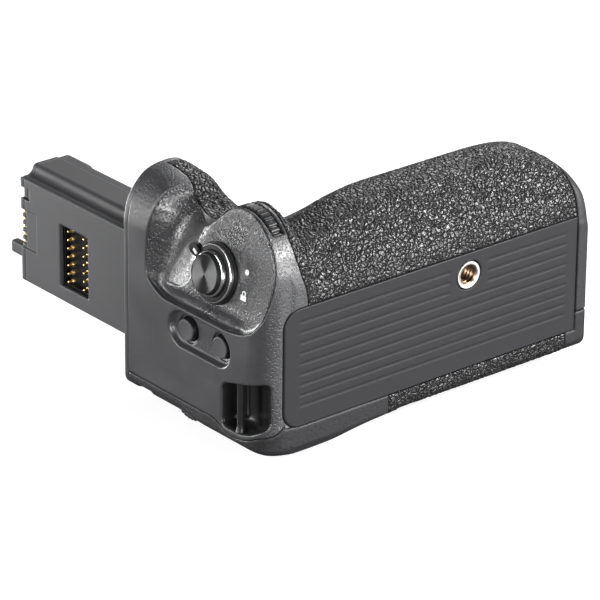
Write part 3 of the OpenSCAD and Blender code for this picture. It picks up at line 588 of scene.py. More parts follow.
def grain(depth, size, level, seed):
    def go(V, faces, F, g):
        f, gr = sample(SURF["s"], (V - g.lo) / g.h)
        n = gr / g.h
        n /= np.maximum(np.linalg.norm(n, axis=1), 1e-6)[:, None]
        w = smooth(level - 0.38, level - 0.1, f)
        return V + n * (w * depth * (worms(V, size, seed) - 1.0))[:, None]
    return go


SURF = {}
SEAM = 0.07


# ------------------------------------------------------------------ casing (fields)
def z_part(x, y):
    """height of the parting line between the two covers; it passes under the strap recess"""
    return np.interp(y - x - 80, PART[:, 0], PART[:, 1]).astype(np.float32)


def strap_void(x, y, z):
    top = -19.3 + 0.27 * (18 - y)
    low = -33.9 + 0.028 * np.maximum(14 - y, 0) ** 2
    return rint(sd_poly(x, y, STRAP_XY), np.maximum(z - top, low - z), 2.2)


def plate_void(x, y, z, gap):
    return np.maximum(sd_poly(x, z, PLATE_XZ) - gap, y - 1.85)


def rubber_zone(x, y, z):
    back = np.interp(x, [-54, -44], [65.35, 56.0]).astype(np.float32)
    return np.maximum(np.maximum(seam_x(y, z) - x, 7.35 - z), np.maximum(x - 44.9, (y - back) * 0.8))


def cyl(a, b, ca, cb, r):
    return np.hypot(a - ca, b - cb) - r


SCREWS = [(-30, 8), (-30, 60), (8, 8), (8, 60), (40, 8), (40, 60)]
FN_Y, FN_Z = (38.1, 21.9), -9.5
FD, RD = (-68.6, 18.4, 22.2), (-74.6, 39.5, -30.6)
SCREW_Z = -3.0
STICK, AF, MENU = (-57, 37, -33.2), (-66.5, 54), (-46, 54)


def dial_voids(x, y, z):
    a = np.maximum(np.abs(x - FD[0]) - 2.25, cyl(y, z, FD[1], FD[2], 12.85))
    b = np.maximum(np.abs(x - RD[0]) - 2.55, cyl(y, z, RD[1], RD[2], 10.5))
    return np.minimum(a, b)


def build_end():
    g = Grid((-81.5, -1.3, -39.6), (-59.6, 66.4, 36.4), 0.31)
    x, y, z = g.x, g.y, g.z
    S = casing(g)
    pl, h, t, R = plateau(x, y, z)
    sw = strap_void(x, y, z)
    q = np.maximum(np.maximum(-(pl + 0.4 + 1.0 * smooth(0.4, 2.0, -g.s0)), R + 0.12), x + 68.4 - TT * (z - 16) + 0.12)      # the shutter plate's share
    F = np.maximum(S, -(S + 2.4))
    F = np.maximum(F, np.maximum(x + 60, y - 65.44))
    F = rint(F, z_part(x, y) + SEAM - z, 0.2)
    F = np.minimum(F, np.maximum(S, sw - 1.6))
    F = rint(F, -np.maximum(rubber_zone(x, y, z) - 0.1, -(S + 1.25)), 0.3)
    F = rint(F, -(q - 0.12), 0.15)
    F = rint(F, -plate_void(x, y, z, 0.16), 0.25)
    st = stadium(y, z, FN_Y[0] + 1.5, FN_Y[1], FN_Z - 0.1)
    tool = rint(st - 5.85 + 0.35 * (x + 80), x + 78.0, 0.5)
    F = np.minimum(F, np.maximum(S, np.maximum(st - 7.2, x + 75.6)))
    F = rint(F, -tool, 0.45)
    for yy in FN_Y:
        c = np.hypot(y - yy, z - FN_Z)
        F = rint(F, -np.maximum(c - 4.6, x + 77.4), 0.18)
        F = np.maximum(F, 3.85 - c)
    F = rint(F, -sw, 0.55)
    F = np.maximum(F, -np.maximum(sw - 0.95, S + 0.75))
    F = rint(F, -dial_voids(x, y, z), 0.3)
    hub = np.hypot((x - SH.x) * ST + (z - SH.z) * CT, y - SH.y)
    F = np.maximum(F, 7.0 - hub)
    field_piece("front_cover_end", F.astype(np.float32), g, M_COVER, "front_cover")
    gs = Grid((-81.0, -1.0, -37.4), (-68.4, 23.4, -13.0), 0.3)
    xs, ys, zs = gs.x, gs.y, gs.z
    so, ws_ = casing(gs), strap_void(xs, ys, zs)
    L = np.maximum(np.maximum(-ws_, ws_ - 0.88), so + 0.82)
    # dark liner over the strap recess walls: painted shade in the pocket
    field_piece("strap_pocket_liner", L.astype(np.float32), gs, M_SHADED_WELL, "strap_pocket")
    # plateau plate with the seat of the shutter
    P = rint(S, q, 0.16)
    P = np.maximum(P, np.maximum(-1.35 - pl, x + 60.5))
    P = np.maximum(P, 6.6 - hub)
    P = rint(P, -np.maximum(st - 5.6, x + 78), 0.2)
    P = np.maximum(P, -dial_voids(x, y, z))
    field_piece("shutter_plate_sculpted", P.astype(np.float32), g, M_PLATEAU, "shutter_plate")


def build_core():
    g = Grid((-60.8, -1.3, -33.6), (45.6, 66.4, 33.2), 0.62)
    x, y, z = g.x, g.y, g.z
    S = casing(g)
    F = np.maximum(S, -(S + 2.4))
    F = np.maximum(F, np.maximum(np.maximum(-60 - x, x - 44.94), y - 65.44))
    F = np.maximum(F, z_part(x, y) + SEAM - z)
    F = np.maximum(F, -np.maximum(rubber_zone(x, y, z) - 0.1, -(S + 1.25)))
    F = np.maximum(F, -plate_void(x, y, z, 0.16))
    F = np.maximum(F, -np.maximum(np.maximum(np.abs(x) - 10.8 - 0.4865 * np.maximum(z - 4.6, 0), np.abs(y - 59.5) - 2.5), -2 - z))
    F = np.maximum(F, -np.maximum(np.maximum(39 - x, np.abs(y - 32.7) - 23.7), z - 8))
    F = np.maximum(F, np.minimum(4.9 - np.hypot(x, z), 12 - y))
    field_piece("grip_core_shell", F.astype(np.float32), g, M_COVER, ["grip_core", "grip_deck"])


def build_rear():
    g = Grid((-81.5, -1.3, -43.3), (51.2, 66.4, -23.6), 0.42)
    x, y, z = g.x, g.y, g.z
    S = casing(g)
    F = np.maximum(np.maximum(S, -(S + 2.4)), np.maximum(x - 44.94, y - 65.44))
    F = rint(F, z - z_part(x, y) + SEAM, 0.2)
    lip = np.maximum(np.maximum(S, z + 33.95), np.maximum(43.6 - x, y - 65.44))
    blk = np.maximum(np.maximum(S, z + 25.15), np.maximum(44.9 - x, y - 8.55))
    F = np.minimum(F, np.minimum(rint(lip, z + 33.95, 0.25), rint(blk, z + 25.15, 0.25)))
    F = np.maximum(F, -(strap_void(x, y, z) - 1.7))
    rz = np.maximum(np.maximum(np.abs(x - 5) - 36.06, y - 62.0), z + 31.2)
    F = rint(F, -np.maximum(rz, -(S + 1.25)), 0.3)
    F = rint(F, -plate_void(x, y, z, 0.16), 0.2)
    F = rint(F, -dial_voids(x, y, z), 0.35)
    for c, r in ((AF, 4.4), (MENU, 3.4)):
        d = cyl(x, y, c[0], c[1], r)
        F = rint(F, -d, 0.3)
        F = rint(F, -np.maximum(d - 1.6, z + 37.4), 0.35)             # shallow dish round each button
    d = cyl(x, y, STICK[0], STICK[1], 6.0)
    F = rint(F, -d, 0.5)
    F = rint(F, -np.maximum(d - 2.2, z + 37.2 + 0.35 * d), 0.4)
    for sx, sy in SCREWS:
        d = np.hypot(x - sx, y - sy)
        F = np.maximum(F, np.minimum(d, np.where(z < -36.45, 1e3, d)) * -1 + np.where(z < -36.45, 2.25, 1.25))
    # notch at the camera-side corner with a black contact well behind it
    F = rint(F, -np.maximum(np.maximum(np.abs(y - 58.6) - 3.6, x + 75.5), z + 36.2), 0.5)
    field_piece("rear_cover_sculpted", F.astype(np.float32), g, M_REAR, "rear_cover")


def build_rubber():
    g = Grid((-71.6, -1.4, 6.2), (45.9, 66.2, 35.4), 0.31)
    x, y, z = g.x, g.y, g.z
    S = casing(g)
    SURF["s"] = S
    F = np.maximum(rint(S - 0.22, rubber_zone(x, y, z), 0.45), -(S + 1.1))
    F = np.maximum(F, -dial_voids(x, y, z))
    field_piece("front_grip_leather", F.astype(np.float32), g, M_RUBBER, "front_grip_rubber", grain=grain(0.22, 1.12, 0.22, 7))
    g = Grid((-31.9, -1.4, -39.0), (41.9, 62.8, -30.4), 0.40)
    x, y, z = g.x, g.y, g.z
    S = casing(g)
    SURF["s"] = S
    rz = np.maximum(np.maximum(np.abs(x - 5) - 36.0, y - 61.95), z + 31.28)
    F = np.maximum(rint(S - 0.2, rz, 0.45), -(S + 1.1))
    F = np.maximum(F, -plate_void(x, y, z, 0.2))
    for sx, sy in SCREWS:
        F = rint(F, 2.7 - np.hypot(x - sx, y - sy), 0.3)
    field_piece("rear_grip_leather", F.astype(np.float32), g, M_RUBBER, "rear_grip_rubber", grain=grain(0.22, 1.12, 0.2, 11))


def build_top():
    g = Grid((-81, 64.9, -43), (45.6, 68.2, 35), (0.45, 0.22, 0.45))
    x, y, z = g.x, g.y, g.z
    S = casing(g)
    F = rint(S, 65.5 - y, 0.2)
    F = np.maximum(F, x - 44.94)
    hole = np.maximum(np.abs(x + 63.75) - 10.4, np.abs(z + 6.6) - 19.2)
    F = rint(F, -hole, 0.25)
    F = np.maximum(F, 3.5 - np.hypot(x, z - SCREW_Z))
    for px in (-40, 38):
        F = np.maximum(F, 1.05 - np.hypot(x - px, z + 20))
        F = np.maximum(F, -np.maximum(np.hypot(x - px, z + 20) - 1.8, 66.5 - y))
    ring = np.maximum(np.maximum(np.abs(x + 1) - 43, np.abs(z + 20.5) - 12.5), -np.maximum(np.abs(x + 1) - 40.5, np.abs(z + 20.5) - 10.0))
    F = np.maximum(F, -np.maximum(ring, 66.9 - y))
    # a register recess at each end
    for cx, cz, rr in ((-28, -2, 1.6), (26, -2, 1.6)):
        F = rint(F, -np.maximum(np.hypot(x - cx, z - cz) - rr, 66.8 - y), 0.2)
    field_piece("top_plate_detailed", F.astype(np.float32), g, M_COVER, "top_plate")


def build_door():
    g = Grid((44.7, -1.3, -35.0), (51.2, 68.2, 26.5), 0.34)
    x, y, z = g.x, g.y, g.z
    S = casing(g)
    F = rint(S, 45.32 - x, 0.35)
    F = rint(F, -33.6 - z, 0.3)
    F = rint(F, -np.maximum(y - 8.9, z + 24.85), 0.3)
    d = np.hypot(y - 33, z + 10)
    F = rint(F, -np.maximum(d - 9.6, 48.4 - x), 0.35)
    F = np.maximum(F, 4.4 - d)
    # finger scoop under the latch
    F = rint(F, -(np.hypot(np.hypot(x - 57.5, (y - 33) * 0.6), z + 27.0) - 8.6), 0.4)
    field_piece("tray_door_sculpted", F.astype(np.float32), g, M_DOOR, "tray_door", "battery_tray")


def build_plate():
    g = Grid((-73.1, -0.5, -31.8), (45.6, 2.5, 8.0), (0.62, 0.13, 0.155))
    x, y, z = g.x, g.y, g.z
    F = rint(sd_poly(x, z, PLATE_XZ), np.maximum(-y, y - 1.8), 0.35)
    depth = np.zeros_like(x * z)
    for k in range(9):
        zk = 2.85 - 3.41 * k
        across = smooth(0.78, 0.16, np.abs(z - zk))
        if k < 3:
            run = np.maximum(np.minimum(smooth(-66.6, -65.9, x), smooth(-7.3, -8.0, x)), np.minimum(smooth(7.3, 8.0, x), smooth(40.7, 40.0, x)))
        else:
            run = np.minimum(smooth(-66.6, -65.9, x), smooth(40.7, 40.0, x))
        depth = np.maximum(depth, across * run)
    F = np.maximum(F, (0.11 * depth - y) * 0.8)
    F = rint(F, 4.78 - np.hypot(x, z), 0.3)
    field_piece("base_plate_ribbed", F.astype(np.float32), g, M_PLATE, "base_plate")


def build_stem():
    g = Grid((-74.8, 61.2, -26.4), (-52.6, 127.4, 13.4), (0.26, 0.3, 0.26))
    x, y, z = g.x, g.y, g.z
    a = rint(np.abs(x + 63.75) - 10.25, np.abs(z + 8.15) - 17.55, 0.3)
    rid = rint(np.maximum(-69.3 - x, x + 55.0 - 0.8 * smooth(117.2, 117.6, y)), z - 12.6 + 0.42 * smooth(-59.7, -59.3, x), 1.7)
    rid = np.maximum(rid, 0 - z)
    F = runi(a, rid, 2.2)
    # fine rule along the edge of the broad face
    F = rint(F, -np.maximum(np.abs(x + 73.1) - 0.22, 9.15 - z), 0.1)
    F = np.maximum(F, np.maximum(62 - y, y - 126.85))
    F = np.maximum(F, -np.maximum(np.maximum(np.abs(x + 63.75) - 8.65, np.abs(z + 8.15) - 15.95), y - 125.3))
    win = rint(np.abs(y - 101.15) - 7.35, np.abs(z + 10.35) - 10.35, 0.4)
    F = rint(F, -np.maximum(win, x + 71), 0.16)
    # recessed panel at the tip round the comb
    F = rint(F, -np.maximum(np.maximum(120.8 - y, np.abs(z + 7.9) - 6.5), x + 73.4), 0.15)
    F = rint(F, -np.maximum(np.maximum(-88 - x, x + 72.6), np.maximum(124.2 - y, np.abs(z - 4.2) - 1.9)), 0.2)
    field_piece("stem_housing_moulded", F.astype(np.float32), g, M_STEM, "stem_housing")
    g = Grid((-74.8, 126.2, -26.4), (-52.6, 136.8, 13.4), 0.26)
    x, y, z = g.x, g.y, g.z
    a = rint(rint(np.abs(x + 63.75) - 10.25, np.abs(z + 8.15) - 17.55, 0.3), y - 128.85, 0.25)
    rid = rint(np.maximum(-69.3 - x, x + 54.2), z - 12.6 + 0.42 * smooth(-59.7, -59.3, x), 1.7)
    rid = rint(np.maximum(rid, 0 - z), y - 128.85, 0.4)
    F = runi(a, rid, 2.2)
    F = np.maximum(F, y - 128.85)
    F = rint(F, -np.maximum(np.abs(x + 73.1) - 0.22, 9.15 - z), 0.1)
    F = np.maximum(F, 126.9 - y)
    F = rint(F, -np.maximum(np.maximum(np.abs(z + 7.9) - 6.5, x + 73.4), y - 140), 0.15)
    F = rint(F, -np.maximum(x + 72.6, np.abs(z - 4.2) - 1.9), 0.2)
    for k in range(5):
        F = rint(F, -np.maximum(np.abs(z + 2.4 + 2.55 * k) - 0.62, x + 69.6), 0.15)
    peg = rint(rint(np.abs(x + 71.9) - 1.5, np.abs(z + 16.5) - 2.1, 0.8), y - 135.8, 1.3)
    F = runi(F, np.maximum(peg, 127.6 - y), 0.4)
    field_piece("stem_cap_moulded", F.astype(np.float32), g, M_STEM, "stem_cap")


for build in (build_end, build_core, build_rear, build_rubber, build_top, build_door, build_plate, build_stem):
    build()


# ------------------------------------------------------------------ turned and pressed pieces
def rev(bm, rows, n=64, m=None, close=False):
    """rows of (radius or n radii, height) joined into a closed skin; radius 0 ends on the axis"""
    ring = []
    for r, z in rows:
        if np.ndim(r) == 0 and r < 1e-6:
            ring.append([bm.verts.new((0, 0, z))])
        else:
            rr = np.broadcast_to(r, n)
            ring.append([bm.verts.new((rr[k] * math.cos(2 * math.pi * k / n), rr[k] * math.sin(2 * math.pi * k / n), z if np.ndim(z) == 0 else z[k])) for k in range(n)])
    for A, B in list(zip(ring, ring[1:])) + ([(ring[-1], ring[0])] if close else []):
        for k in range(n):
            j = (k + 1) % n
            if len(A) == 1:
                bm.faces.new((A[0], B[j], B[k]))
            elif len(B) == 1:
                bm.faces.new((A[k], A[j], B[0]))
            else:
                bm.faces.new((A[k], A[j], B[j], B[k]))
    if m is not None:
        bmesh.ops.transform(bm, matrix=m, verts=[v for a in ring for v in a])
    return bm


def thread_rows(r, z0, z1, pitch, depth, n, taper=0.8):
    k = np.arange(n) / n
    rows = []
    count = int(round((z1 - z0) / pitch * 12))
    for i in range(count + 1):
        z = z0 + (z1 - z0) * i / count
        f = (z / pitch - k) % 1.0
        tri = np.clip(1.25 * (1 - np.abs(2 * f - 1)) - 0.125, 0, 1)
        fade = min(1.0, (z - z0) / taper, (z1 - z) / taper)
        rows.append((r + depth * tri * max(0.0, fade), z))
    return rows


def teeth(n, count, root, out, flat=0.46):
    """n radii of a ribbed rim"""
    f = (np.arange(n) * count / n) % 1.0
    w = np.clip((flat / 2 + 0.16 - np.abs(f - 0.5)) / 0.16, 0, 1)
    return root + (out - root) * w


def new():
    return bmesh.new()


# tripod bush with its thread
bm = new()
rows = [(0, 9.0), (4.65, 9.0), (4.65, 5.0), (6.5, 5.0), (6.5, 3.6), (4.55, 3.6), (4.55, 0.35), (4.3, 0.02), (3.5, 0.02), (3.36, 0.08)] + thread_rows(2.66, 7.4, 0.5, -1.27, 0.56, 72, -0.5)[::1]
rows = rows[:10] + sorted(rows[10:], key=lambda q: q[1]) + [(2.6, 7.7), (0, 8.0)]
rev(bm, rows, 72, along("y", (0, 0, 0)))
finish_bm("tripod_bush_threaded", bm, M_BUSH_THREAD_SHADE, "tripod_bush", angle=40)

# strap bar: a front bar and a rib behind it, both with swollen feet
bm = new()
rev(bm, [(0, -34.6), (1.9, -34.6), (1.6, -33.6), (1.25, -32.6), (1.2, -31.0), (1.2, -20.0), (1.25, -18.6), (1.4, -17.6), (1.5, -16.9), (0, -16.9)], 40, Matrix.Translation((-78.0, 13.0, 0)))
rev(bm, [(0, -30.6), (0.75, -30.3), (1.05, -29.6), (1.05, -28.8), (0.85, -28.0), (0.8, -22.0), (1.0, -18.5), (1.5, -16.4), (0, -16.4)], 32, Matrix.Translation((-75.2, 13.4, 0)))
# the bar takes the dark well material: painted shade in the strap recess
finish_bm("strap_bar_double", bm, M_SHADED_WELL, "strap_bar", angle=50)

# locating pins
bm = new()
for px in (-40, 38):
    rev(bm, [(0, 63), (1.0, 63), (1.0, 67.75), (1.42, 67.8), (1.5, 67.9), (1.5, 69.4), (1.36, 69.9), (1.1, 70.3), (0.7, 70.5), (0, 70.5)], 40, along("y", (px, 0, -20)))
finish_bm("locating_pins_turned", bm, M_STEEL, "locating_pins")

# connector pins in the stem window
bm = new()
for py in (105.55, 97.45):
    for k in range(7):
        m = along("-x", (-70.5, py, -1.95 - 2.86 * k))
        rev(bm, [(0, -0.1), (0.8, -0.1), (0.8, 0.75), (0.66, 0.95), (0.42, 1.0), (0.42, 2.2), (0.36, 2.42), (0.2, 2.55), (0, 2.58)], 20, m)
finish_bm("stem_pins_turned", bm, M_GOLD, "stem_pins")
bm = new()
for k in range(5):
    zc = -2.4 - 2.55 * k
    box(bm, (-73.3, 126.95, zc - 0.22), (-69.8, 128.35, zc + 0.22), 0.12, 2)
finish_bm("stem_tip_blades", bm, M_GOLD, "stem_tip_contacts")

# shutter group, in the plateau's own frame
bm = new()
rev(bm, [(3.4, -3.0), (6.25, -3.0), (6.25, -0.55), (9.2, -0.55), (9.52, -0.4), (9.52, 0.42), (9.38, 0.62), (9.1, 0.7), (6.5, 0.7), (6.5, -2.4), (3.4, -2.4)], 96, close=True)
finish_bm("shutter_seat", bm, M_BLACK, "shutter_collar", matrix=SHM_M)
bm = new()
rev(bm, [(6.55, 0.72), (7.0, 0.72), (7.0, 3.05), (6.92, 3.3), (6.74, 3.5), (6.5, 3.56), (6.42, 3.5), (6.42, 0.72)], 96, close=True)
finish_bm("shutter_sleeve", bm, M_CHROME, "shutter_collar", matrix=SHM_M)
bm = new()
rev(bm, [(0, -1.8), (2.6, -1.8), (2.6, 2.3), (5.7, 2.3), (6.02, 2.6), (6.08, 4.5), (6.04, 4.86), (5.95, 4.98), (5.84, 5.0), (5.78, 4.95), (5.76, 4.8), (0, 4.8)], 96)
finish_bm("shutter_button_body", bm, M_CTRL, "shutter_button", "shutter_button", matrix=SHM_M)
bm = new()
prof = [(5.74 * (1 - i / 14.0), 4.9 - 0.05 * (1 - (1 - i / 14.0) ** 2)) for i in range(14)]
rev(bm, [(0, 4.55), (5.74, 4.55)] + prof + [(0, 4.85)], 128)
finish_bm("shutter_button_face", bm, M_SPUN, "shutter_button", "shutter_button", angle=60, matrix=SHM_M)
bm = new()
rev(bm, [(7.12, 0.76), (8.82, 0.76), (8.9, 0.84), (8.9, 1.9), (8.8, 2.04), (8.5, 2.08), (8.5, 1.4), (7.12, 1.4)], 96, close=True)
finish_bm("lock_ring_bright", bm, M_CHROME, "lock_lever", "lock_lever", matrix=SHM_M)
bm = new()
rev(bm, [(7.12, 1.42), (8.48, 1.42), (8.48, 2.08), (8.36, 2.2), (7.9, 2.26), (7.3, 2.26), (7.12, 2.12)], 96, close=True)
rot = Matrix.Rotation(math.radians(-30), 4, "Z")
tab = [(-1.75, 7.6), (1.75, 7.6), (1.9, 10.4), (0.9, 11.9), (-1.3, 12.2), (-1.9, 10.6)]
lo = [bm.verts.new(rot @ Vector((a, b, 1.0))) for a, b in tab]
hi = [bm.verts.new(rot @ Vector((a * 0.86, 7.6 + (b - 7.6) * 0.94, 2.7 + 0.9 * (b - 7.6) / 4.6))) for a, b in tab]
fs = [bm.faces.new(lo[::-1]), bm.faces.new(hi)] + [bm.faces.new((lo[i], lo[(i + 1) % 6], hi[(i + 1) % 6], hi[i])) for i in range(6)]
bmesh.ops.bevel(bm, geom=list({e for f in fs for e in f.edges}), offset=0.22, segments=2, affect="EDGES", profile=0.5, clamp_overlap=True)
finish_bm("lock_ring_black", bm, M_BLACK, "lock_lever", "lock_lever", matrix=SHM_M)
bm = new()
box(bm, (-0.5, 7.9, 2.6), (0.5, 9.9, 3.22), 0.1, 2)
bmesh.ops.transform(bm, matrix=rot @ Matrix.Translation((0, 0, 0.0)) , verts=bm.verts)
finish_bm("lock_lever_mark", bm, M_MARK, "lock_lever", "lock_lever", matrix=SHM_M)

# printed marks on the plateau: an index dot and a padlock
bm = new()
rev(bm, [(0, -0.12), (0.86, -0.12), (0.86, 0.03), (0.8, 0.045), (0, 0.045)], 48, Matrix.Rotation(math.radians(-161), 4, "Z") @ Matrix.Translation((0, 13.8, 0)))
cx, cy = -2.69, -13.33
box(bm, (cx - 1.45, cy - 1.25, -0.12), (cx + 0.15, cy + 1.25, 0.045), 0.03, 1)
arcp = [(0.1, 0.78)] + [(0.75 + 0.78 * math.sin(math.radians(a)), 0.78 * math.cos(math.radians(a))) for a in range(0, 181, 15)] + [(0.1, -0.78)]
inner = [(0.1, -0.42)] + [(0.75 + 0.42 * math.sin(math.radians(a)), 0.42 * math.cos(math.radians(a))) for a in range(180, -1, -15)] + [(0.1, 0.42)]
prism(bm, [(cx + a, cy + b) for a, b in arcp + inner], "z", -0.12, 0.045)
finish_bm("plateau_marks", bm, M_MARK, "index_marks", matrix=SHM_M)

# round function buttons
for nm, yy in (("fn_button_a", FN_Y[0]), ("fn_button_b", FN_Y[1])):
    bm = new()
    rev(bm, [(0, 74.4), (4.35, 74.4), (4.35, 75.4), (3.45, 75.4), (3.45, 78.7), (3.38, 78.82), (0, 78.82)], 72, along("-x", (0, yy, FN_Z)))
    finish_bm(nm + "_skirt", bm, M_BLACK, nm, nm, angle=50)
    bm = new()
    rev(bm, [(0, 78.84), (3.34, 78.84), (3.36, 79.06), (3.28, 79.22), (3.1, 79.32), (2.9, 79.3), (2.0, 79.24), (0, 79.22)], 72, along("-x", (0, yy, FN_Z)))
    finish_bm(nm + "_cap", bm, M_BUTTON, nm, nm, angle=50)

# command dials with ribbed rims
for nm, c, w, r, body in (("front_dial", FD, 3.6, 12.4, "front_dial"), ("rear_dial", RD, 4.2, 10.0, "rear_dial")):
    n = 40 * 8
    out, mid = teeth(n, 40, r - 0.75, r), teeth(n, 40, r - 0.95, r - 0.42)
    bm = new()
    h = w / 2
    rev(bm, [(2.05, -h), (r - 2.6, -h), (r - 2.2, -h + 0.3), (r - 1.5, -h), (mid, -h), (out, -h + 0.42), (out, h - 0.42), (mid, h), (r - 1.5, h), (r - 2.2, h - 0.3), (r - 2.6, h), (2.05, h)], n, along("x", c), close=True)
    finish_bm(nm + "_ribbed", bm, M_CTRL, nm, body, angle=28)

# rear buttons, stick
for nm, c, r, out in (("af_button", AF, 4.0, 1.2), ("menu_button", MENU, 3.0, 0.8)):
    bm = new()
    rev(bm, [(0, 33.9), (r + 1, 33.9), (r + 1, 34.9), (r, 34.9), (r, 37.6 + out), (r - 0.12, 37.86 + out), (r - 0.42, 38.0 + out), (r - 0.8, 37.94 + out), (r * 0.5, 37.76 + out), (0, 37.7 + out)], 64, along("-z", (c[0], c[1], 0)))
    finish_bm(nm + "_cap", bm, M_CTRL, nm, nm, angle=50)
bm = new()
rev(bm, [(0, 31.8), (1.7, 31.8), (1.7, 32.0), (2.6, 32.0), (2.6, 34.6), (1.7, 34.6), (1.7, 39.2), (4.2, 39.4), (4.3, 39.6), (3.75, 40.9), (3.4, 41.25), (2.9, 41.2), (1.6, 40.7), (0, 40.55)], 64, along("-z", (STICK[0], STICK[1], 0)))
for k in range(8):
    a = math.radians(45 * k + 22.5)
    rev(bm, [(0, 40.6), (0.42, 40.6), (0.42, 41.3), (0.3, 41.46), (0, 41.5)], 16, along("-z", (STICK[0] + 2.55 * math.cos(a), STICK[1] + 2.55 * math.sin(a), 0)))
rev(bm, [(0, -3.7), (0.6, -3.7), (0.6, 3.7), (0, 3.7)], 20, along("y", STICK))
finish_bm("thumb_stick_cap", bm, M_CTRL, "thumb_stick", "thumb_stick", angle=50)

# hand wheel and camera screw
n = 36 * 10
out, mid = teeth(n, 36, 9.55, 10.2), teeth(n, 36, 9.4, 9.85)
bm = new()
rev(bm, [(2.5, 57.6), (6.8, 57.6), (7.1, 57.9), (7.6, 57.6), (mid, 57.6), (out, 58.0), (out, 61.0), (mid, 61.4), (7.6, 61.4), (7.1, 61.1), (6.8, 61.4), (2.5, 61.4)], n, along("y", (0, 0, SCREW_Z)), close=True)
finish_bm("attach_wheel_ribbed", bm, M_CTRL, "attach_wheel", "attach_wheel", angle=28)
bm = new()
rev(bm, [(0, 56.6), (2.5, 56.6), (2.5, 67.7), (2.62, 67.85)] + thread_rows(2.62, 67.9, 72.1, 1.27, 0.48, 72, 0.5) + [(2.6, 72.2), (2.3, 72.9), (0, 72.9)], 72, along("y", (0, 0, SCREW_Z)))
finish_bm("camera_screw_threaded", bm, M_STEEL, "camera_screw", "attach_wheel", angle=40)

# door latch
bm = new()
rev(bm, [(0, 43.4), (4.0, 43.4), (4.0, 48.72), (8.9, 48.72), (9.2, 49.0), (9.2, 49.62), (8.95, 49.88), (8.4, 49.9), (8.2, 49.66), (7.7, 49.66), (7.5, 49.9), (0, 49.9)], 96, along("x", (0, 33, -10)))
box(bm, (49.5, 31.7, -17.3), (51.3, 34.3, -2.7), 0.45, 3)
finish_bm("door_latch_turned", bm, M_CTRL, "door_latch", "door_latch", angle=40)
bm = new()
box(bm, (51.2, 32.7, -4.7), (51.36, 33.3, -3.3), 0.04, 1)
finish_bm("door_latch_mark", bm, M_MARK, None, "door_latch")

# battery packs: rounded cases with a lip, a grip panel and gold contacts
for nm, y0 in (("battery_pack_a", 12.2), ("battery_pack_b", 33.3)):
    bm = new()
    box(bm, (-12.4, y0, -31.4), (39.2, y0 + 20.4, 6.2), 1.1, 3)
    box(bm, (39.0, y0 + 0.25, -31.1), (42.1, y0 + 20.15, 5.9), 0.8, 3)
    for k in range(5):
        box(bm, (30.0 + 1.7 * k, y0 + 4.2, 6.0), (30.9 + 1.7 * k, y0 + 16.2, 6.2 + 0.12), 0.05, 1)
    box(bm, (-13.3, y0 + 1.6, -30.2), (-12.2, y0 + 19.6, -19.0), 0.4, 2)
    box(bm, (-13.3, y0 + 1.6, -3.2), (-12.2, y0 + 19.6, 5.0), 0.4, 2)
    finish_bm(nm + "_case", bm, M_PACK, nm, "battery_tray")
    bm = new()
    for k in range(4):
        box(bm, (-12.7, y0 + 3.0 + 3.8 * k, -18), (-12.35, y0 + 5.0 + 3.8 * k, -4), 0.12, 2)
    finish_bm(nm + "_contacts", bm, M_GOLD, nm, "battery_tray")

# pieces whose construction shape is shown as it is
for nm, mt in {"top_gasket": M_BLACK, "chassis_plate": M_ALLOY, "case_screws": M_STEEL, "stem_pin_block": M_BLACK, "shutter_switch": M_BOARD, "fn_keypad": M_SILICONE,
               "front_dial_axle": M_STEEL, "rear_dial_axle": M_STEEL, "rear_keypad": M_SILICONE, "stick_base": M_BLACK, "stick_gimbal": M_STEEL, "screw_bearing": M_ALLOY,
               "tray_guide": M_PACK, "latch_keeper": M_ALLOY, "contact_block": M_BLACK, "contact_springs": M_GOLD, "main_board": M_BOARD, "battery_tray": M_PACK,
               "door_seal": M_BLACK, "latch_tongue": M_ALLOY}.items():
    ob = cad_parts[nm]
    ob.data.materials.clear()
    ob.data.materials.append(mt)

# ------------------------------------------------------------------ stage, light, camera
def floor():
    m, nt, b = nodes_of("pale_floor")
    v = coords(nt)
    nt.links.new(ramp(nt, noise(nt, v, 3.0, 3), [(0.3, grey(0.40)), (0.7, grey(0.42))]), b.inputs["Base Color"])
    b.inputs["Roughness"].default_value = 0.8
    b.inputs["Specular IOR Level"].default_value = 0.1
    b.inputs["Emission Color"].default_value = (1, 1, 1, 1)
    b.inputs["Emission Strength"].default_value = 0.82
    me = bpy.data.meshes.new("floor")
    z, w = -42.32 * MM, 3.0
    me.from_pydata([(-w, -w, z), (w, -w, z), (w, w, z), (-w, w, z)], [], [(0, 1, 2, 3)])
    ob = bpy.data.objects.new("floor", me)
    bpy.context.scene.collection.objects.link(ob)
    me.materials.append(m)
    ob.visible_diffuse = ob.visible_glossy = ob.visible_transmission = ob.visible_shadow = False


def area(name, at, to, size, power, tint_=(1, 1, 1), spread=180):
    li = bpy.data.lights.new(name, "AREA")
    li.shape = "RECTANGLE"
    li.size, li.size_y = size
    li.energy = power
    li.color = tint_
    li.spread = math.radians(spread)
    ob = bpy.data.objects.new(name, li)
    bpy.context.scene.collection.objects.link(ob)
    ob.location = at
    ob.rotation_euler = (Vector(to) - Vector(at)).to_track_quat("-Z", "Y").to_euler()
    ob.visible_camera = False


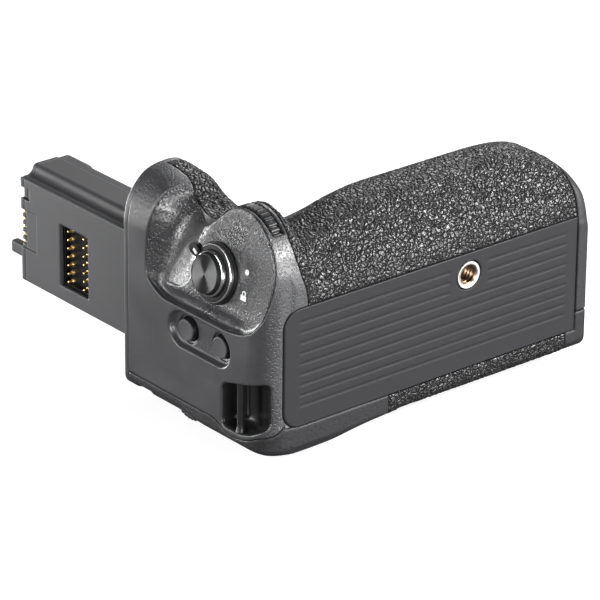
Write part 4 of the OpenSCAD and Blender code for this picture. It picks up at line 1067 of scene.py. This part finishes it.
floor()
scene = bpy.context.scene
scene.view_settings.view_transform = "Standard"
world = bpy.data.worlds.new("studio")
scene.world = world
world.use_nodes = True
wn = world.node_tree
bg = wn.nodes["Background"]
wv = add(wn, "ShaderNodeTexCoord").outputs["Generated"]
ws = add(wn, "ShaderNodeSeparateXYZ")
wn.links.new(wv, ws.inputs[0])
half = math_node(wn, "MULTIPLY", math_node(wn, "ADD", ws.outputs["Z"], 1.0), 0.5)
wn.links.new(ramp(wn, half, [(0.0, grey(0.10)), (0.36, grey(0.16)), (0.47, grey(0.34)), (0.56, grey(0.34)), (0.66, grey(0.08)), (1.0, grey(0.05))]), bg.inputs["Color"])
bg.inputs["Strength"].default_value = 1.0
mid = (-0.01, 0.04, 0.0)
area("key_left", (-0.90, 0.30, 0.22), mid, (0.5, 0.42), 6.8)
area("card_front_left", (-0.41, -0.88, 0.13), mid, (0.42, 0.24), 6.6)
area("card_front_right", (0.55, -0.82, 0.10), mid, (0.44, 0.28), 6.8)
area("band_back", (-0.18, 1.0, -0.12), mid, (0.84, 0.28), 11.0)
area("strip_right", (0.62, -0.57, 0.53), mid, (0.6, 0.12), 14.0)
area("card_back_right", (0.63, 0.48, 0.58), mid, (0.5, 0.4), 4.6)
area("card_low", (0.50, -0.62, -0.36), mid, (0.3, 0.3), 0.75)

cam = bpy.data.cameras.new("photo_camera")
cam.lens, cam.sensor_width, cam.sensor_fit = 252.27, 36.0, "HORIZONTAL"
cam.clip_start, cam.clip_end = 0.05, 50.0
co = bpy.data.objects.new("photo_camera", cam)
scene.collection.objects.link(co)
ca, ce, cr_ = math.radians(-39.709), math.radians(24.222), math.radians(0.5446)
back = Vector((math.sin(ca) * math.cos(ce), -math.cos(ca) * math.cos(ce), math.sin(ce)))
right = Vector((math.cos(ca), math.sin(ca), 0.0))
up = back.cross(right)
rx = math.cos(cr_) * right + math.sin(cr_) * up
ux = -math.sin(cr_) * right + math.cos(cr_) * up
co.matrix_world = Matrix(((rx.x, ux.x, back.x, -0.78379), (rx.y, ux.y, back.y, -0.86374), (rx.z, ux.z, back.z, 0.51537), (0, 0, 0, 1)))
scene.camera = co


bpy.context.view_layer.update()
print("built in", round(time.time() - T0, 1), "s")
